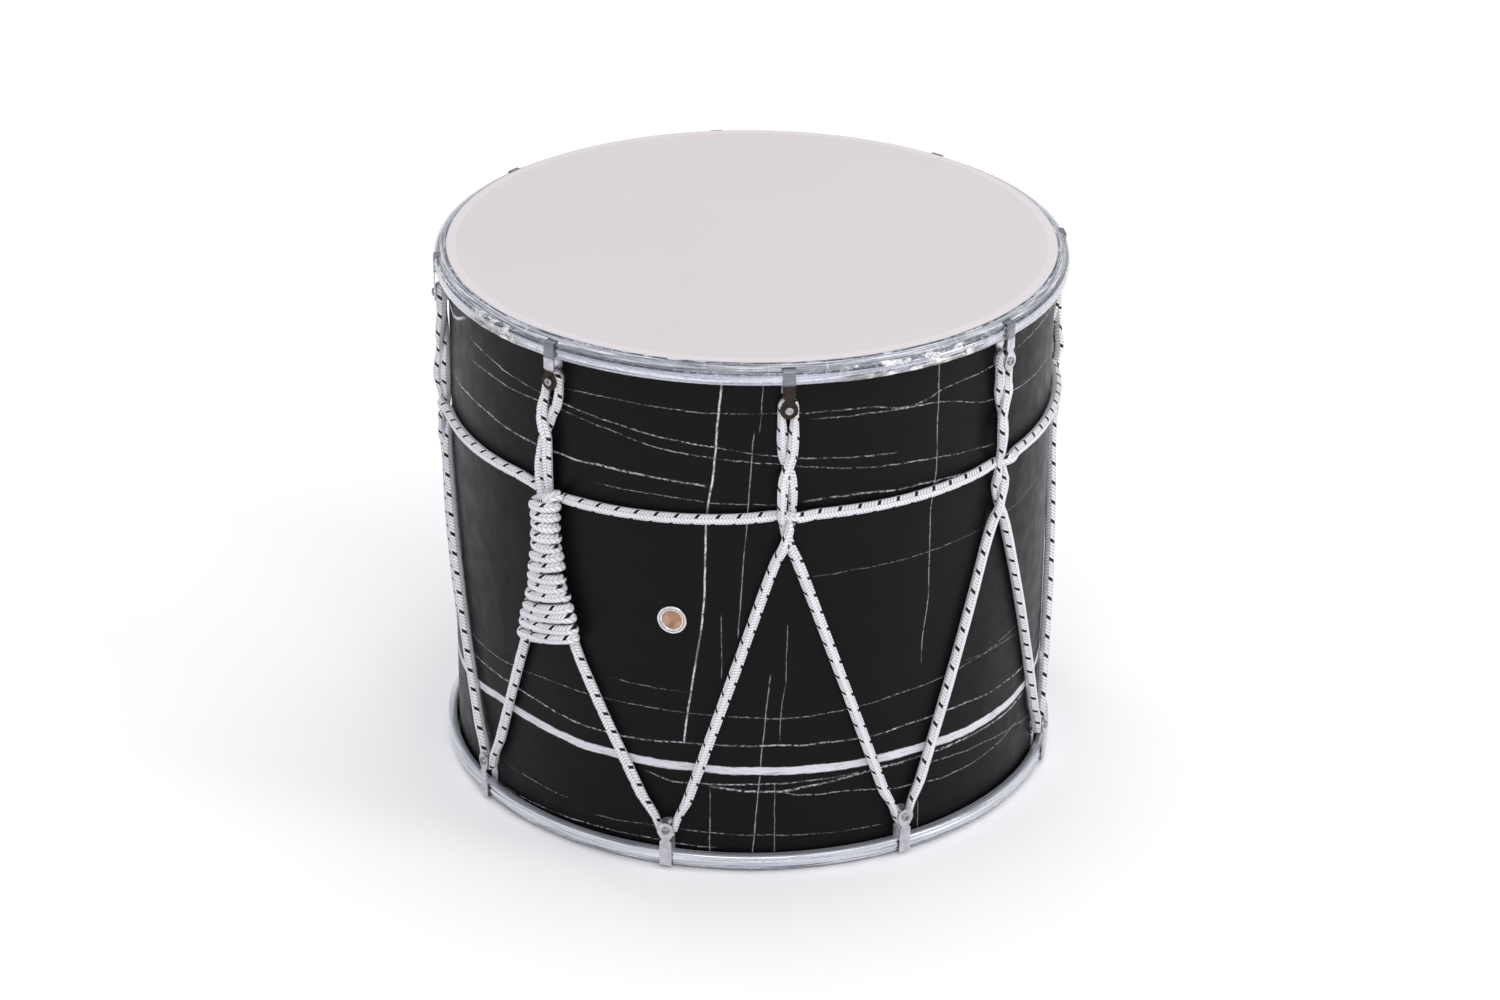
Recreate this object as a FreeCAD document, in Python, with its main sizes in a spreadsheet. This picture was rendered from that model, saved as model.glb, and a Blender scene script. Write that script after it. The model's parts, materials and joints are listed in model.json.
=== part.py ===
import FreeCAD, Part
import math
import os

# Rope-tensioned double-headed bass drum, standing on its lower head.
# Millimetres, +Z up.  The origin is the middle of the lower head's outside face.
# Azimuths are degrees from the front (-Y), growing towards +X.

document = FreeCAD.newDocument("bass_drum")
Vector = FreeCAD.Vector
UP = Vector(0, 0, 1)

# ------------------------------------------------------------------ driving dimensions

DIMENSIONS = [
    ("drum_height", 316.0, "outside face to outside face of the two heads"),
    ("shell_radius", 175.0, "outside of the laminate"),
    ("laminate_thickness", 0.6, "plastic laminate round the shell"),
    ("shell_wall", 5.4, "wooden wall"),
    ("bearing_chamfer", 3.0, "inside bevel of the bearing edges"),
    ("bearing_round", 1.0, "outside round of the bearing edges"),
    ("laminate_setback", 1.6, "laminate's edge, from the head's outside face"),
    ("inner_ring_height", 22.0, "inner reinforcement rings"),
    ("inner_ring_thickness", 5.0, "inner reinforcement rings"),
    ("film_thickness", 0.35, "drum heads"),
    ("film_bend_radius", 175.4, "where the head turns down over the bearing edge"),
    ("film_tail_radius", 180.345, "middle of the film where it drops into the hoop"),
    ("film_tail_top", 6.2, "end of the film's folded tail, from the head's outside face"),
    ("flesh_wire_radius", 1.0, "flesh ring's wire"),
    ("flesh_ring_depth", 7.6, "flesh ring's middle, from the head's outside face"),
    ("fold_clearance", 0.025, "between the flesh ring and the film"),
    ("hoop_inner_radius", 176.3, "counter-hoop"),
    ("hoop_outer_radius", 181.8, "counter-hoop"),
    ("hoop_near", 3.3, "hoop's near edge, from the head's outside face"),
    ("hoop_far", 11.3, "hoop's far edge, from the head's outside face"),
    ("hoop_mouth_inner", 179.9, "slot that the film drops into"),
    ("hoop_mouth_outer", 180.8, "slot that the film drops into"),
    ("hoop_lip", 1.7, "thickness of the hoop's near wall"),
    ("hoop_wall", 1.1, "thickness of the hoop's other walls"),
    ("hoop_bead_round", 2.4, "hoop's rounded outer edge"),
    ("hook_inner_radius", 175.2, "inner face of a hook's inner leaf"),
    ("strap_thickness", 0.8, "hook's strap"),
    ("strap_width", 7.0, "hook's strap"),
    ("leaf_gap", 6.6, "between a hook's two leaves"),
    ("fold_depth", 2.2, "outside of a hook's fold, from the head's outside face"),
    ("eye_depth", 25.5, "eye's middle, from the head's outside face"),
    ("eye_radius", 5.0, "hook's round eyes"),
    ("neck_notch_radius", 1.4, "notches above a hook's eye"),
    ("collar_radius", 2.1, "tapped collar on the inner eye"),
    ("collar_height", 1.2, "tapped collar on the inner eye"),
    ("screw_radius", 1.25, "hook screw's shank"),
    ("screw_clearance", 0.05, "hook screw in its holes and in the roller"),
    ("screw_head_radius", 2.35, "pan head"),
    ("screw_head_height", 1.3, "pan head"),
    ("recess_span", 2.6, "cross recess, tip to tip"),
    ("recess_width", 0.6, "cross recess, each slot"),
    ("recess_depth", 0.7, "cross recess"),
    ("roller_radius", 2.0, "spacer roller on a hook screw"),
    ("roller_end_gap", 0.3, "between a roller's ends and what it sits between"),
    ("rope_radius", 3.0, "braided rope, 6 mm"),
    ("vent_azimuth", -21.1, "vent eyelet, degrees from the front"),
    ("vent_height", 157.0, "vent eyelet's middle"),
    ("vent_radius", 5.6, "eyelet's bore"),
    ("vent_barrel_wall", 0.6, "eyelet's barrel"),
    ("vent_flange_radius", 8.6, "eyelet's flange"),
    ("vent_flange_thickness", 1.0, "eyelet's flange"),
    ("vent_hole_gap", 0.2, "between the eyelet's barrel and the wood"),
    ("washer_radius", 8.5, "washer inside the shell"),
    ("washer_thickness", 0.6, "washer inside the shell"),
]

HOOK_COUNT = 8
UPPER_HOOKS = [-0.5, 44.5, 90.0, 135.0, 180.0, 225.0, 270.0, 316.0]      # azimuths, fitted by hand
LOWER_HOOKS = [22.5, 67.5, 112.5, 157.5, 202.5, 247.5, 295.5, 338.3]
TOP = "top"
BOTTOM = "bottom"

sheet = document.addObject("Spreadsheet::Sheet", "dims")
for row, (alias, value, meaning) in enumerate(DIMENSIONS, start=1):
    sheet.set("A%d" % row, alias)
    sheet.set("B%d" % row, "%g" % value)
    sheet.set("C%d" % row, meaning)
    sheet.setAlias("B%d" % row, alias)
document.recompute()


class Size:
    """A length and the sheet formula that gives it."""

    def __init__(self, value, formula):
        self.value = float(value)
        self.formula = formula

    def __float__(self):
        return self.value

    def __add__(self, other):
        other = as_size(other)
        return Size(self.value + other.value, "(%s + %s)" % (self.formula, other.formula))

    def __sub__(self, other):
        other = as_size(other)
        return Size(self.value - other.value, "(%s - %s)" % (self.formula, other.formula))

    def __mul__(self, other):
        other = as_size(other)
        return Size(self.value * other.value, "(%s * %s)" % (self.formula, other.formula))

    def __truediv__(self, other):
        other = as_size(other)
        return Size(self.value / other.value, "(%s / %s)" % (self.formula, other.formula))

    def __neg__(self):
        return Size(-self.value, "(0 - %s)" % self.formula)


def as_size(number):
    if isinstance(number, Size):
        return number
    return Size(number, "%g" % number)


def dim(alias):
    return Size(getattr(sheet, alias), "dims." + alias)


def from_end(side, depth):
    """Height of a point that lies `depth` in from the outside face of one head."""
    if side == TOP:
        return dim("drum_height") - depth
    return as_size(depth)


# Sizes that follow from the driving ones.
wood_radius = dim("shell_radius") - dim("laminate_thickness")
cavity_radius = wood_radius - dim("shell_wall")
inner_leaf_face = dim("hook_inner_radius") + dim("strap_thickness")
outer_leaf_face = inner_leaf_face + dim("leaf_gap")
hook_outer_radius = outer_leaf_face + dim("strap_thickness")
hook_middle_radius = inner_leaf_face + dim("leaf_gap") / 2
bore_radius = dim("screw_radius") + dim("screw_clearance")
vent_barrel_radius = dim("vent_radius") + dim("vent_barrel_wall")


# ------------------------------------------------------------------ sketch and feature helpers

def origin_plane(body, role):
    for feature in body.Origin.OriginFeatures:
        if feature.Role == role:
            return feature
    raise RuntimeError("no plane " + role)


def new_body(name):
    body = document.addObject("PartDesign::Body", name)
    body.Label = name
    return body


def new_sketch(body, name, role, offset=None):
    sketch = body.newObject("Sketcher::SketchObject", body.Name + "_" + name)
    sketch.AttachmentSupport = (origin_plane(body, role), [""])
    sketch.MapMode = "FlatFace"
    if offset is not None:
        sketch.setExpression("AttachmentOffset.Base.z", offset.formula)
    return sketch


def pin_point(sketch, geometry, point, x, y):
    """Hold one point of the sketch at (x, y) from the sketch's origin."""
    import Sketcher
    for kind, size, axis in (("DistanceX", as_size(x), -2), ("DistanceY", as_size(y), -1)):
        if abs(size.value) < 1e-9:
            sketch.addConstraint(Sketcher.Constraint("PointOnObject", geometry, point, axis))
            continue
        if size.value > 0:
            constraint = Sketcher.Constraint(kind, -1, 1, geometry, point, size.value)
            formula = size.formula
        else:
            constraint = Sketcher.Constraint(kind, geometry, point, -1, 1, -size.value)
            formula = (-size).formula
        index = sketch.addConstraint(constraint)
        sketch.setExpression("Constraints[%d]" % index, formula)


def draw_outline(sketch, points):
    """Closed outline of straight lines through points given as pairs of sizes."""
    import Sketcher
    first = sketch.GeometryCount
    count = len(points)
    for index in range(count):
        x1, y1 = points[index]
        x2, y2 = points[(index + 1) % count]
        start = Vector(float(x1), float(y1), 0)
        end = Vector(float(x2), float(y2), 0)
        sketch.addGeometry(Part.LineSegment(start, end), False)
    for index in range(count):
        following = first + (index + 1) % count
        sketch.addConstraint(Sketcher.Constraint("Coincident", first + index, 2, following, 1))
    for index, (x, y) in enumerate(points):
        pin_point(sketch, first + index, 1, x, y)


def draw_circle(sketch, x, y, radius):
    import Sketcher
    centre = Vector(float(x), float(y), 0)
    circle = sketch.addGeometry(Part.Circle(centre, UP, float(radius)), False)
    pin_point(sketch, circle, 3, x, y)
    index = sketch.addConstraint(Sketcher.Constraint("Radius", circle, float(radius)))
    sketch.setExpression("Constraints[%d]" % index, as_size(radius).formula)


def revolve(body, sketch, axis):
    feature = body.newObject("PartDesign::Revolution", body.Name + "_revolution")
    feature.Profile = sketch
    feature.ReferenceAxis = (sketch, [axis])
    feature.Angle = 360.0
    document.recompute()
    return feature


def pad(body, sketch, name, length, both_ways=False):
    feature = body.newObject("PartDesign::Pad", body.Name + "_" + name)
    feature.Profile = sketch
    feature.setExpression("Length", as_size(length).formula)
    if both_ways:
        feature.SideType = "Symmetric"
    document.recompute()
    return feature


def pocket(body, sketch, name, length, both_ways=False):
    """Cut, and check that the cut took something away."""
    before = body.Shape.Volume
    feature = body.newObject("PartDesign::Pocket", body.Name + "_" + name)
    feature.Profile = sketch
    feature.setExpression("Length", as_size(length).formula)
    if both_ways:
        feature.SideType = "Symmetric"
    document.recompute()
    if body.Shape.Volume > before - 1e-3:
        raise RuntimeError(feature.Name + " cuts nothing")
    return feature


def fillet(body, name, radius, is_wanted):
    """Round the edges of the body's tip whose middle passes the test."""
    base = body.Tip
    edges = []
    for number, edge in enumerate(base.Shape.Edges, start=1):
        middle = edge.valueAt((edge.FirstParameter + edge.LastParameter) / 2)
        if is_wanted(edge, middle):
            edges.append("Edge%d" % number)
    if not edges:
        raise RuntimeError(name + " finds no edge")
    feature = body.newObject("PartDesign::Fillet", body.Name + "_" + name)
    feature.Base = (base, edges)
    feature.setExpression("Radius", as_size(radius).formula)
    document.recompute()
    return feature


def is_near(number, size):
    return abs(number - float(size)) < 0.02


def at_ring(radius, height):
    """Test for the circular edge of a given radius and height about the drum's axis."""
    def test(edge, middle):
        return is_near(math.hypot(middle.x, middle.y), radius) and is_near(middle.z, height)
    return test


def facing(azimuth, height=0.0):
    """Placement that turns the local +X axis to an azimuth of the drum."""
    turn = FreeCAD.Rotation(UP, azimuth - 90.0)
    return FreeCAD.Placement(Vector(0, 0, height), turn)


def point_at(azimuth, radius, height):
    angle = math.radians(azimuth)
    return Vector(radius * math.sin(angle), -radius * math.cos(angle), height)


def ring_of(name, outline):
    body = new_body(name)
    sketch = new_sketch(body, "section", "XZ_Plane")
    draw_outline(sketch, outline)
    revolve(body, sketch, "V_Axis")
    return body


# ------------------------------------------------------------------ shell

def cut_vent(body):
    sketch = new_sketch(body, "vent", "YZ_Plane", dim("shell_radius") + 5)
    draw_circle(sketch, 0, dim("vent_height"), vent_barrel_radius + dim("vent_hole_gap"))
    pocket(body, sketch, "vent_cut", dim("shell_wall") + dim("laminate_thickness") + 15)


def make_shell():
    chamfer = dim("bearing_chamfer")
    low = from_end(BOTTOM, dim("film_thickness"))
    high = from_end(TOP, dim("film_thickness"))
    body = ring_of("shell", [
        (cavity_radius, low + chamfer),
        (cavity_radius + chamfer, low),
        (wood_radius, low),
        (wood_radius, high),
        (cavity_radius + chamfer, high),
        (cavity_radius, high - chamfer),
    ])
    for side, height in ((BOTTOM, low), (TOP, high)):
        fillet(body, side + "_bearing_edge", dim("bearing_round"), at_ring(wood_radius, height))
    cut_vent(body)
    body.Placement = facing(float(dim("vent_azimuth")))


def make_laminate():
    low = from_end(BOTTOM, dim("laminate_setback"))
    high = from_end(TOP, dim("laminate_setback"))
    body = ring_of("shell_laminate", [
        (wood_radius, low),
        (dim("shell_radius"), low),
        (dim("shell_radius"), high),
        (wood_radius, high),
    ])
    cut_vent(body)
    body.Placement = facing(float(dim("vent_azimuth")))


def make_reinforcement_ring(side):
    start = dim("film_thickness") + dim("bearing_chamfer")
    near = from_end(side, start)
    far = from_end(side, start + dim("inner_ring_height"))
    inner = cavity_radius - dim("inner_ring_thickness")
    body = ring_of(side + "_reinforcement_ring", [
        (inner, near),
        (cavity_radius, near),
        (cavity_radius, far),
        (inner, far),
    ])
    fillet(body, "far_round", 2, at_ring(inner, far))


# ------------------------------------------------------------------ hoops, flesh rings and heads

def make_hoop(side):
    near = from_end(side, dim("hoop_near"))
    lip = from_end(side, dim("hoop_near") + dim("hoop_lip"))
    floor = from_end(side, dim("hoop_far") - dim("hoop_wall"))
    far = from_end(side, dim("hoop_far"))
    inner = dim("hoop_inner_radius")
    outer = dim("hoop_outer_radius")
    channel_inner = inner + dim("hoop_wall")
    channel_outer = dim("hoop_mouth_outer") + 0.05
    body = ring_of(side + "_hoop", [
        (inner, near),
        (dim("hoop_mouth_inner"), near),
        (dim("hoop_mouth_inner"), lip),
        (channel_inner, lip),
        (channel_inner, floor),
        (channel_outer, floor),
        (channel_outer, lip),
        (dim("hoop_mouth_outer"), lip),
        (dim("hoop_mouth_outer"), near),
        (outer, near),
        (outer, far),
        (inner, far),
    ])
    fillet(body, "lip_round", 0.85, at_ring(outer, near))
    fillet(body, "bead_round", dim("hoop_bead_round"), at_ring(outer, far))
    fillet(body, "inner_round", 1, at_ring(inner, far))


def flesh_ring_radius():
    """Radius of the flesh ring's middle: just inside the film's tail."""
    gap = dim("film_thickness") / 2 + dim("fold_clearance")
    return dim("film_tail_radius") - gap - dim("flesh_wire_radius")


def make_flesh_ring(side):
    body = new_body(side + "_flesh_ring")
    sketch = new_sketch(body, "section", "XZ_Plane")
    draw_circle(sketch, flesh_ring_radius(), from_end(side, dim("flesh_ring_depth")), dim("flesh_wire_radius"))
    revolve(body, sketch, "V_Axis")


def rounded_route(points, share=0.45):
    """Straight runs joined by tangent arcs, each arc as large as its two runs allow."""
    edges = []
    radii = []
    last = points[0]
    for before, corner, after in zip(points, points[1:], points[2:]):
        arriving = corner - before
        leaving = after - corner
        reach = share * min(arriving.Length, leaving.Length)
        arriving = arriving * (1 / arriving.Length)
        leaving = leaving * (1 / leaving.Length)
        turn = math.acos(max(-1.0, min(1.0, arriving.dot(leaving))))
        if turn < 1e-3:
            continue
        radius = reach / math.tan(turn / 2)
        start = corner - arriving * reach
        end = corner + leaving * reach
        inward = (leaving - arriving).normalize()
        middle = corner + inward * (radius / math.cos(turn / 2) - radius)
        edges.append(Part.LineSegment(last, start).toShape())
        edges.append(Part.Arc(start, middle, end).toShape())
        radii.append(radius)
        last = end
    edges.append(Part.LineSegment(last, points[-1]).toShape())
    return Part.Wire(edges), radii


def make_head(name, side, hook_azimuths):
    """Film that lies flat, turns over the bearing edge and folds round the flesh ring in its hoop."""
    thickness = float(dim("film_thickness"))
    half = thickness / 2
    tail = float(dim("film_tail_radius"))
    wire_middle = float(flesh_ring_radius())
    wire_depth = float(dim("flesh_ring_depth"))
    fold = tail - wire_middle

    def at(radius, depth):
        return Vector(radius, 0, float(from_end(side, depth)))

    bend = float(dim("film_bend_radius"))
    mouth = float(dim("hoop_near")) - 0.5
    slope, _ = rounded_route([at(0, half), at(bend, half), at(tail, mouth), at(tail, wire_depth)], 0.15)
    edges = list(slope.Edges)
    edges.append(Part.Arc(at(tail, wire_depth), at(wire_middle, wire_depth + fold),
                          at(wire_middle - fold, wire_depth)).toShape())
    edges.append(Part.LineSegment(at(wire_middle - fold, wire_depth),
                                  at(wire_middle - fold, float(dim("film_tail_top")))).toShape())
    middle_line = Part.Wire(edges)
    section = thicken(middle_line, half)
    shape = section.revolve(Vector(0, 0, 0), UP, 360)
    shape = shape.cut(Part.makeCompound([strap_slot(side, azimuth) for azimuth in hook_azimuths]))
    head = document.addObject("Part::Feature", name)
    head.Label = name
    head.Shape = shape.Solids[0] if len(shape.Solids) == 1 else shape
    return head


def thicken(middle_line, half):
    """Face that lies `half` to each side of an open flat line that starts on the drum's axis."""
    side_a = middle_line.makeOffset2D(half, 0, False, True)
    side_b = middle_line.makeOffset2D(-half, 0, False, True)
    ends = []
    for parameter in (0, -1):
        ends.append((side_a.OrderedVertexes[parameter].Point, side_b.OrderedVertexes[parameter].Point))
    if (ends[0][0] - ends[0][1]).Length > 4 * half:
        ends = [(ends[0][0], ends[1][1]), (ends[1][0], ends[0][1])]
    caps = [Part.LineSegment(start, end).toShape() for start, end in ends]
    return Part.Face(Part.Wire(Part.__sortEdges__(side_a.Edges + side_b.Edges + caps)))


def make_hoop_film(hook_azimuths):
    """Clear film that lies over the upper hoop's edge and outside, slit where the hooks cross it."""
    gap = 0.15
    thickness = 0.2
    outer = float(dim("hoop_outer_radius")) + gap
    near = float(dim("hoop_near")) - gap
    far = float(dim("hoop_far")) + gap
    start = float(dim("hoop_mouth_outer")) + gap

    def at(radius, depth):
        return Vector(radius, 0, float(from_end(TOP, depth)))

    inside = [at(start, near), at(outer - 0.6, near), at(outer, near + 0.6), at(outer, far - 2.05),
              at(outer - 1.25, far + 0.05)]
    outside = [at(start, near - thickness), at(outer - 0.52, near - thickness), at(outer + thickness, near + 0.52),
               at(outer + thickness, far - 1.99), at(outer - 1.07, far + 0.15)]
    section = Part.Face(Part.makePolygon(inside + outside[::-1] + inside[:1]))
    shape = section.revolve(Vector(0, 0, 0), UP, 360)
    shape = shape.cut(Part.makeCompound([strap_slot(TOP, azimuth) for azimuth in hook_azimuths]))
    film = document.addObject("Part::Feature", "top_hoop_film")
    film.Label = film.Name
    film.Shape = shape.Solids[0] if len(shape.Solids) == 1 else shape
    return film


def strap_slot(side, azimuth):
    """Slot in a film that a hook's strap passes through."""
    width = float(dim("strap_width")) + 0.6
    inner = float(dim("hook_inner_radius")) - 0.3
    outer = float(hook_outer_radius) + 0.3
    depth = float(dim("fold_depth")) - 0.3
    height = float(dim("hoop_near")) - depth
    low = float(from_end(side, depth)) - (height if side == TOP else 0)
    slot = Part.makeBox(outer - inner, width, height, Vector(inner, -width / 2, low))
    slot.Placement = facing(azimuth).multiply(slot.Placement)
    return slot


# ------------------------------------------------------------------ tension hooks

def make_hook(side, number, azimuth):
    """One strap folded round the hoop into two leaves, each ending in a round eye."""
    body = new_body("%s_hook_%d" % (side, number))
    eye = from_end(side, dim("eye_depth"))
    fold_outside = from_end(side, dim("fold_depth"))
    fold_inside = from_end(side, dim("fold_depth") + dim("strap_thickness"))
    strap = new_sketch(body, "strap", "XZ_Plane")
    draw_outline(strap, [
        (dim("hook_inner_radius"), eye),
        (dim("hook_inner_radius"), fold_outside),
        (hook_outer_radius, fold_outside),
        (hook_outer_radius, eye),
        (outer_leaf_face, eye),
        (outer_leaf_face, fold_inside),
        (inner_leaf_face, fold_inside),
        (inner_leaf_face, eye),
    ])
    pad(body, strap, "strap_pad", dim("strap_width"), both_ways=True)

    def fold_edge(radii, height):
        def test(edge, middle):
            on_radius = any(is_near(middle.x, radius) for radius in radii)
            return on_radius and is_near(middle.z, height) and is_near(middle.y, 0)
        return test

    fillet(body, "outer_fold", 1.6, fold_edge((dim("hook_inner_radius"), hook_outer_radius), fold_outside))
    fillet(body, "inner_fold", 0.8, fold_edge((inner_leaf_face, outer_leaf_face), fold_inside))

    eyes = new_sketch(body, "eyes", "YZ_Plane", dim("hook_inner_radius"))
    draw_circle(eyes, 0, eye, dim("eye_radius"))
    pad(body, eyes, "eye_pad", hook_outer_radius - dim("hook_inner_radius"))
    gap = new_sketch(body, "gap", "XZ_Plane")
    reach = dim("eye_radius") + 1
    draw_outline(gap, [
        (inner_leaf_face, eye - reach),
        (outer_leaf_face, eye - reach),
        (outer_leaf_face, eye + reach),
        (inner_leaf_face, eye + reach),
    ])
    pocket(body, gap, "gap_cut", dim("eye_radius") * 2 + 2, both_ways=True)

    # Notches on both sides make the neck between the strap and the eye.
    notch_depth = dim("eye_depth") - dim("eye_radius") - dim("neck_notch_radius") * 0.6
    notches = new_sketch(body, "notches", "YZ_Plane", dim("hook_inner_radius") - 1)
    for across in (dim("strap_width") / 2 + 0.35, -(dim("strap_width") / 2 + 0.35)):
        draw_circle(notches, across, from_end(side, notch_depth), dim("neck_notch_radius"))
    pocket_outwards(body, notches, "neck_cut", hook_outer_radius - dim("hook_inner_radius") + 2)

    collar = new_sketch(body, "collar", "YZ_Plane", inner_leaf_face)
    draw_circle(collar, 0, eye, dim("collar_radius"))
    pad(body, collar, "collar_pad", dim("collar_height"))
    bore = new_sketch(body, "bore", "YZ_Plane", dim("hook_inner_radius") - 1)
    draw_circle(bore, 0, eye, bore_radius)
    pocket_outwards(body, bore, "bore_cut", hook_outer_radius - dim("hook_inner_radius") + 2)
    body.Placement = facing(azimuth)


def pocket_outwards(body, sketch, name, length):
    """Cut from the sketch along its normal, away from the drum's axis."""
    before = body.Shape.Volume
    feature = body.newObject("PartDesign::Pocket", body.Name + "_" + name)
    feature.Profile = sketch
    feature.Reversed = True
    feature.setExpression("Length", as_size(length).formula)
    document.recompute()
    if body.Shape.Volume > before - 1e-3:
        raise RuntimeError(feature.Name + " cuts nothing")
    return feature


def make_roller(side, number, azimuth):
    body = new_body("%s_roller_%d" % (side, number))
    start = inner_leaf_face + dim("collar_height") + dim("roller_end_gap")
    sketch = new_sketch(body, "section", "YZ_Plane", start)
    eye = from_end(side, dim("eye_depth"))
    draw_circle(sketch, 0, eye, dim("roller_radius"))
    draw_circle(sketch, 0, eye, bore_radius)
    pad(body, sketch, "tube", outer_leaf_face - dim("roller_end_gap") - start)
    body.Placement = facing(azimuth)


def make_screw_master():
    """One pan-head screw along +X, at the distance from the drum's axis where it sits."""
    body = new_body("hook_screw_master")
    sketch = new_sketch(body, "section", "XY_Plane")
    end = dim("hook_inner_radius") + 0.1
    seat = hook_outer_radius + 0.02
    crown = seat + dim("screw_head_height")
    draw_outline(sketch, [
        (end, 0),
        (end, dim("screw_radius")),
        (seat, dim("screw_radius")),
        (seat, dim("screw_head_radius")),
        (crown, dim("screw_head_radius")),
        (crown, 0),
    ])
    revolve(body, sketch, "H_Axis")

    def crown_edge(edge, middle):
        rim = math.hypot(middle.y, middle.z)
        return is_near(middle.x, crown) and is_near(rim, dim("screw_head_radius"))

    fillet(body, "crown_round", 0.8, crown_edge)
    recess = new_sketch(body, "recess", "YZ_Plane", crown + 1)
    tip = dim("recess_span") / 2
    half = dim("recess_width") / 2
    draw_outline(recess, [
        (half, half), (tip, half), (tip, -half), (half, -half), (half, -tip), (-half, -tip),
        (-half, -half), (-tip, -half), (-tip, half), (-half, half), (-half, tip), (half, tip),
    ])
    pocket(body, recess, "recess_cut", dim("recess_depth") + 1)
    return body


def make_screw_group(side, master, azimuths):
    """The screws of one end of the drum, each turned as it was left when it was tightened."""
    height = float(from_end(side, dim("eye_depth")))
    screws = []
    for number, azimuth in enumerate(azimuths):
        screw = master.Shape.copy()
        tightened = FreeCAD.Placement(Vector(0, 0, 0), FreeCAD.Rotation(Vector(1, 0, 0), 37.0 * number))
        screw.Placement = facing(azimuth, height).multiply(tightened)
        screws.append(screw)
    group = document.addObject("Part::Feature", side + "_hook_screws")
    group.Label = group.Name
    group.Shape = Part.makeCompound(screws)
    return group


# ------------------------------------------------------------------ vent

def make_vent():
    flange_seat = dim("shell_radius") + 0.1
    roll_seat = cavity_radius - 0.95
    roll_radius = vent_barrel_radius + 1
    eyelet = new_body("vent_eyelet")
    sketch = new_sketch(eyelet, "section", "XY_Plane")
    draw_outline(sketch, [
        (roll_seat - 1, dim("vent_radius")),
        (flange_seat + dim("vent_flange_thickness"), dim("vent_radius")),
        (flange_seat + dim("vent_flange_thickness"), dim("vent_flange_radius")),
        (flange_seat, dim("vent_flange_radius")),
        (flange_seat, vent_barrel_radius),
        (roll_seat, vent_barrel_radius),
        (roll_seat, roll_radius),
        (roll_seat - 1, roll_radius),
    ])
    revolve(eyelet, sketch, "H_Axis")
    face = float(flange_seat + dim("vent_flange_thickness"))

    def flange_edge(edge, middle):
        rim = math.hypot(middle.y, middle.z)
        on_rim = is_near(rim, dim("vent_flange_radius")) or is_near(rim, dim("vent_radius"))
        return on_rim and is_near(middle.x, face)

    fillet(eyelet, "flange_round", 0.7, flange_edge)
    eyelet.Placement = facing(float(dim("vent_azimuth")), float(dim("vent_height")))

    washer = new_body("vent_eyelet_washer")
    ring = new_sketch(washer, "section", "YZ_Plane", roll_seat + 0.05)
    draw_circle(ring, 0, 0, dim("washer_radius"))
    draw_circle(ring, 0, 0, vent_barrel_radius + 0.1)
    pad(washer, ring, "disc", dim("washer_thickness"))
    washer.Placement = facing(float(dim("vent_azimuth")), float(dim("vent_height")))


# ------------------------------------------------------------------ ropes

ROPE = float(dim("rope_radius"))
SHELL_RADIUS = float(dim("shell_radius"))
WRAP_HOOK = HOOK_COUNT - 1               # the upper hook, counted from the front one, with the winding
WRAP_AZIMUTH = -45.4                     # the winding's middle, a little to the left of its hook
WRAP_TOP = 222.0
WRAP_BOTTOM = 127.0
WRAP_DEPTH = 7.6                         # half the winding's thickness, out from the shell
WRAP_TILT = 0.3                          # its turns climb to the right by this much of their width
WRAP_SECTIONS = [                        # height up the winding (0 to 1) and half its width
    (0.0, 20.6), (0.04, 23.0), (0.10, 22.6), (0.22, 18.8), (0.36, 15.0), (0.50, 12.6),
    (0.62, 10.8), (0.76, 10.0), (0.90, 11.4), (0.97, 12.4), (1.0, 11.0),
]

# Places on a rope's route: across from a hook, out from the shell, and height.
# The strands of a pair twist round each other at two crossings, and between the
# crossings they spread to let the waist rope through.
CROSSINGS = [                            # heights of each upper hook's two crossings
    (213.0, 255.0), (207.0, 264.0), (212.0, 257.0), (213.0, 260.0),
    (211.0, 255.0), (212.0, 262.0), (208.0, 258.0), (206.0, 261.0),
]
CROSSING = [(2.5, 6.7, -8.0), (1.0, 8.9, -3.0), (-1.0, 8.9, 3.0), (-2.5, 6.7, 8.0)]
UNDERNEATH = 3.2                         # out from the shell, for the strand that goes behind
SPREAD = (4.6, 8.3)
NEAR_HOOK = (3.3, 4.3, 277.5)
UPPER_TURN = [(-5.6, 4.3, 292.1), (-2.45, 4.3, 295.8), (2.45, 4.3, 295.8), (5.6, 4.3, 292.1)]
LOWER_TURN = [(-4.25, 4.3, 21.55), (0.0, 4.3, 19.7), (4.25, 4.3, 21.55)]
LEG_TOP = (6.0, 3.5, -15.0)              # below the lower crossing
LEG_SHARES = (0.28, 0.55, 0.81)
LEG_BOTTOM = (4.0, 37.0)                 # out and height where a leg comes to the lower hook
TURN_RADIUS = 5.3
WOUND_LEAN = -8.5                        # the pair with the winding leans to the left, at most this
WOUND_MIDDLE = -5.6                      # its middle at its upper crossing, across
WOUND_SLOPE = 0.09                       # and its slope above the winding
WOUND_SPREAD = (3.4, 5.0, 233.0)         # its strands above the winding: half their spacing, out and up
WOUND_LEFT = [(-10.8, 3.5, 188.0), (-12.6, 3.5, 160.0), (-21.8, 3.5, 133.0)]
WOUND_RIGHT = [(-3.0, 3.5, 188.0), (1.0, 3.5, 160.0), (9.3, 3.5, 133.0)]
LACING_START = (-0.5, 3.5, 168.0)
WAIST_HEIGHTS = [225.2, 228.2, 231.0, 229.5, 228.0, 226.0, 223.5, 219.0]
WAIST_LAST_HEIGHT = 224.3                # where it comes back to the winding
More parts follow.
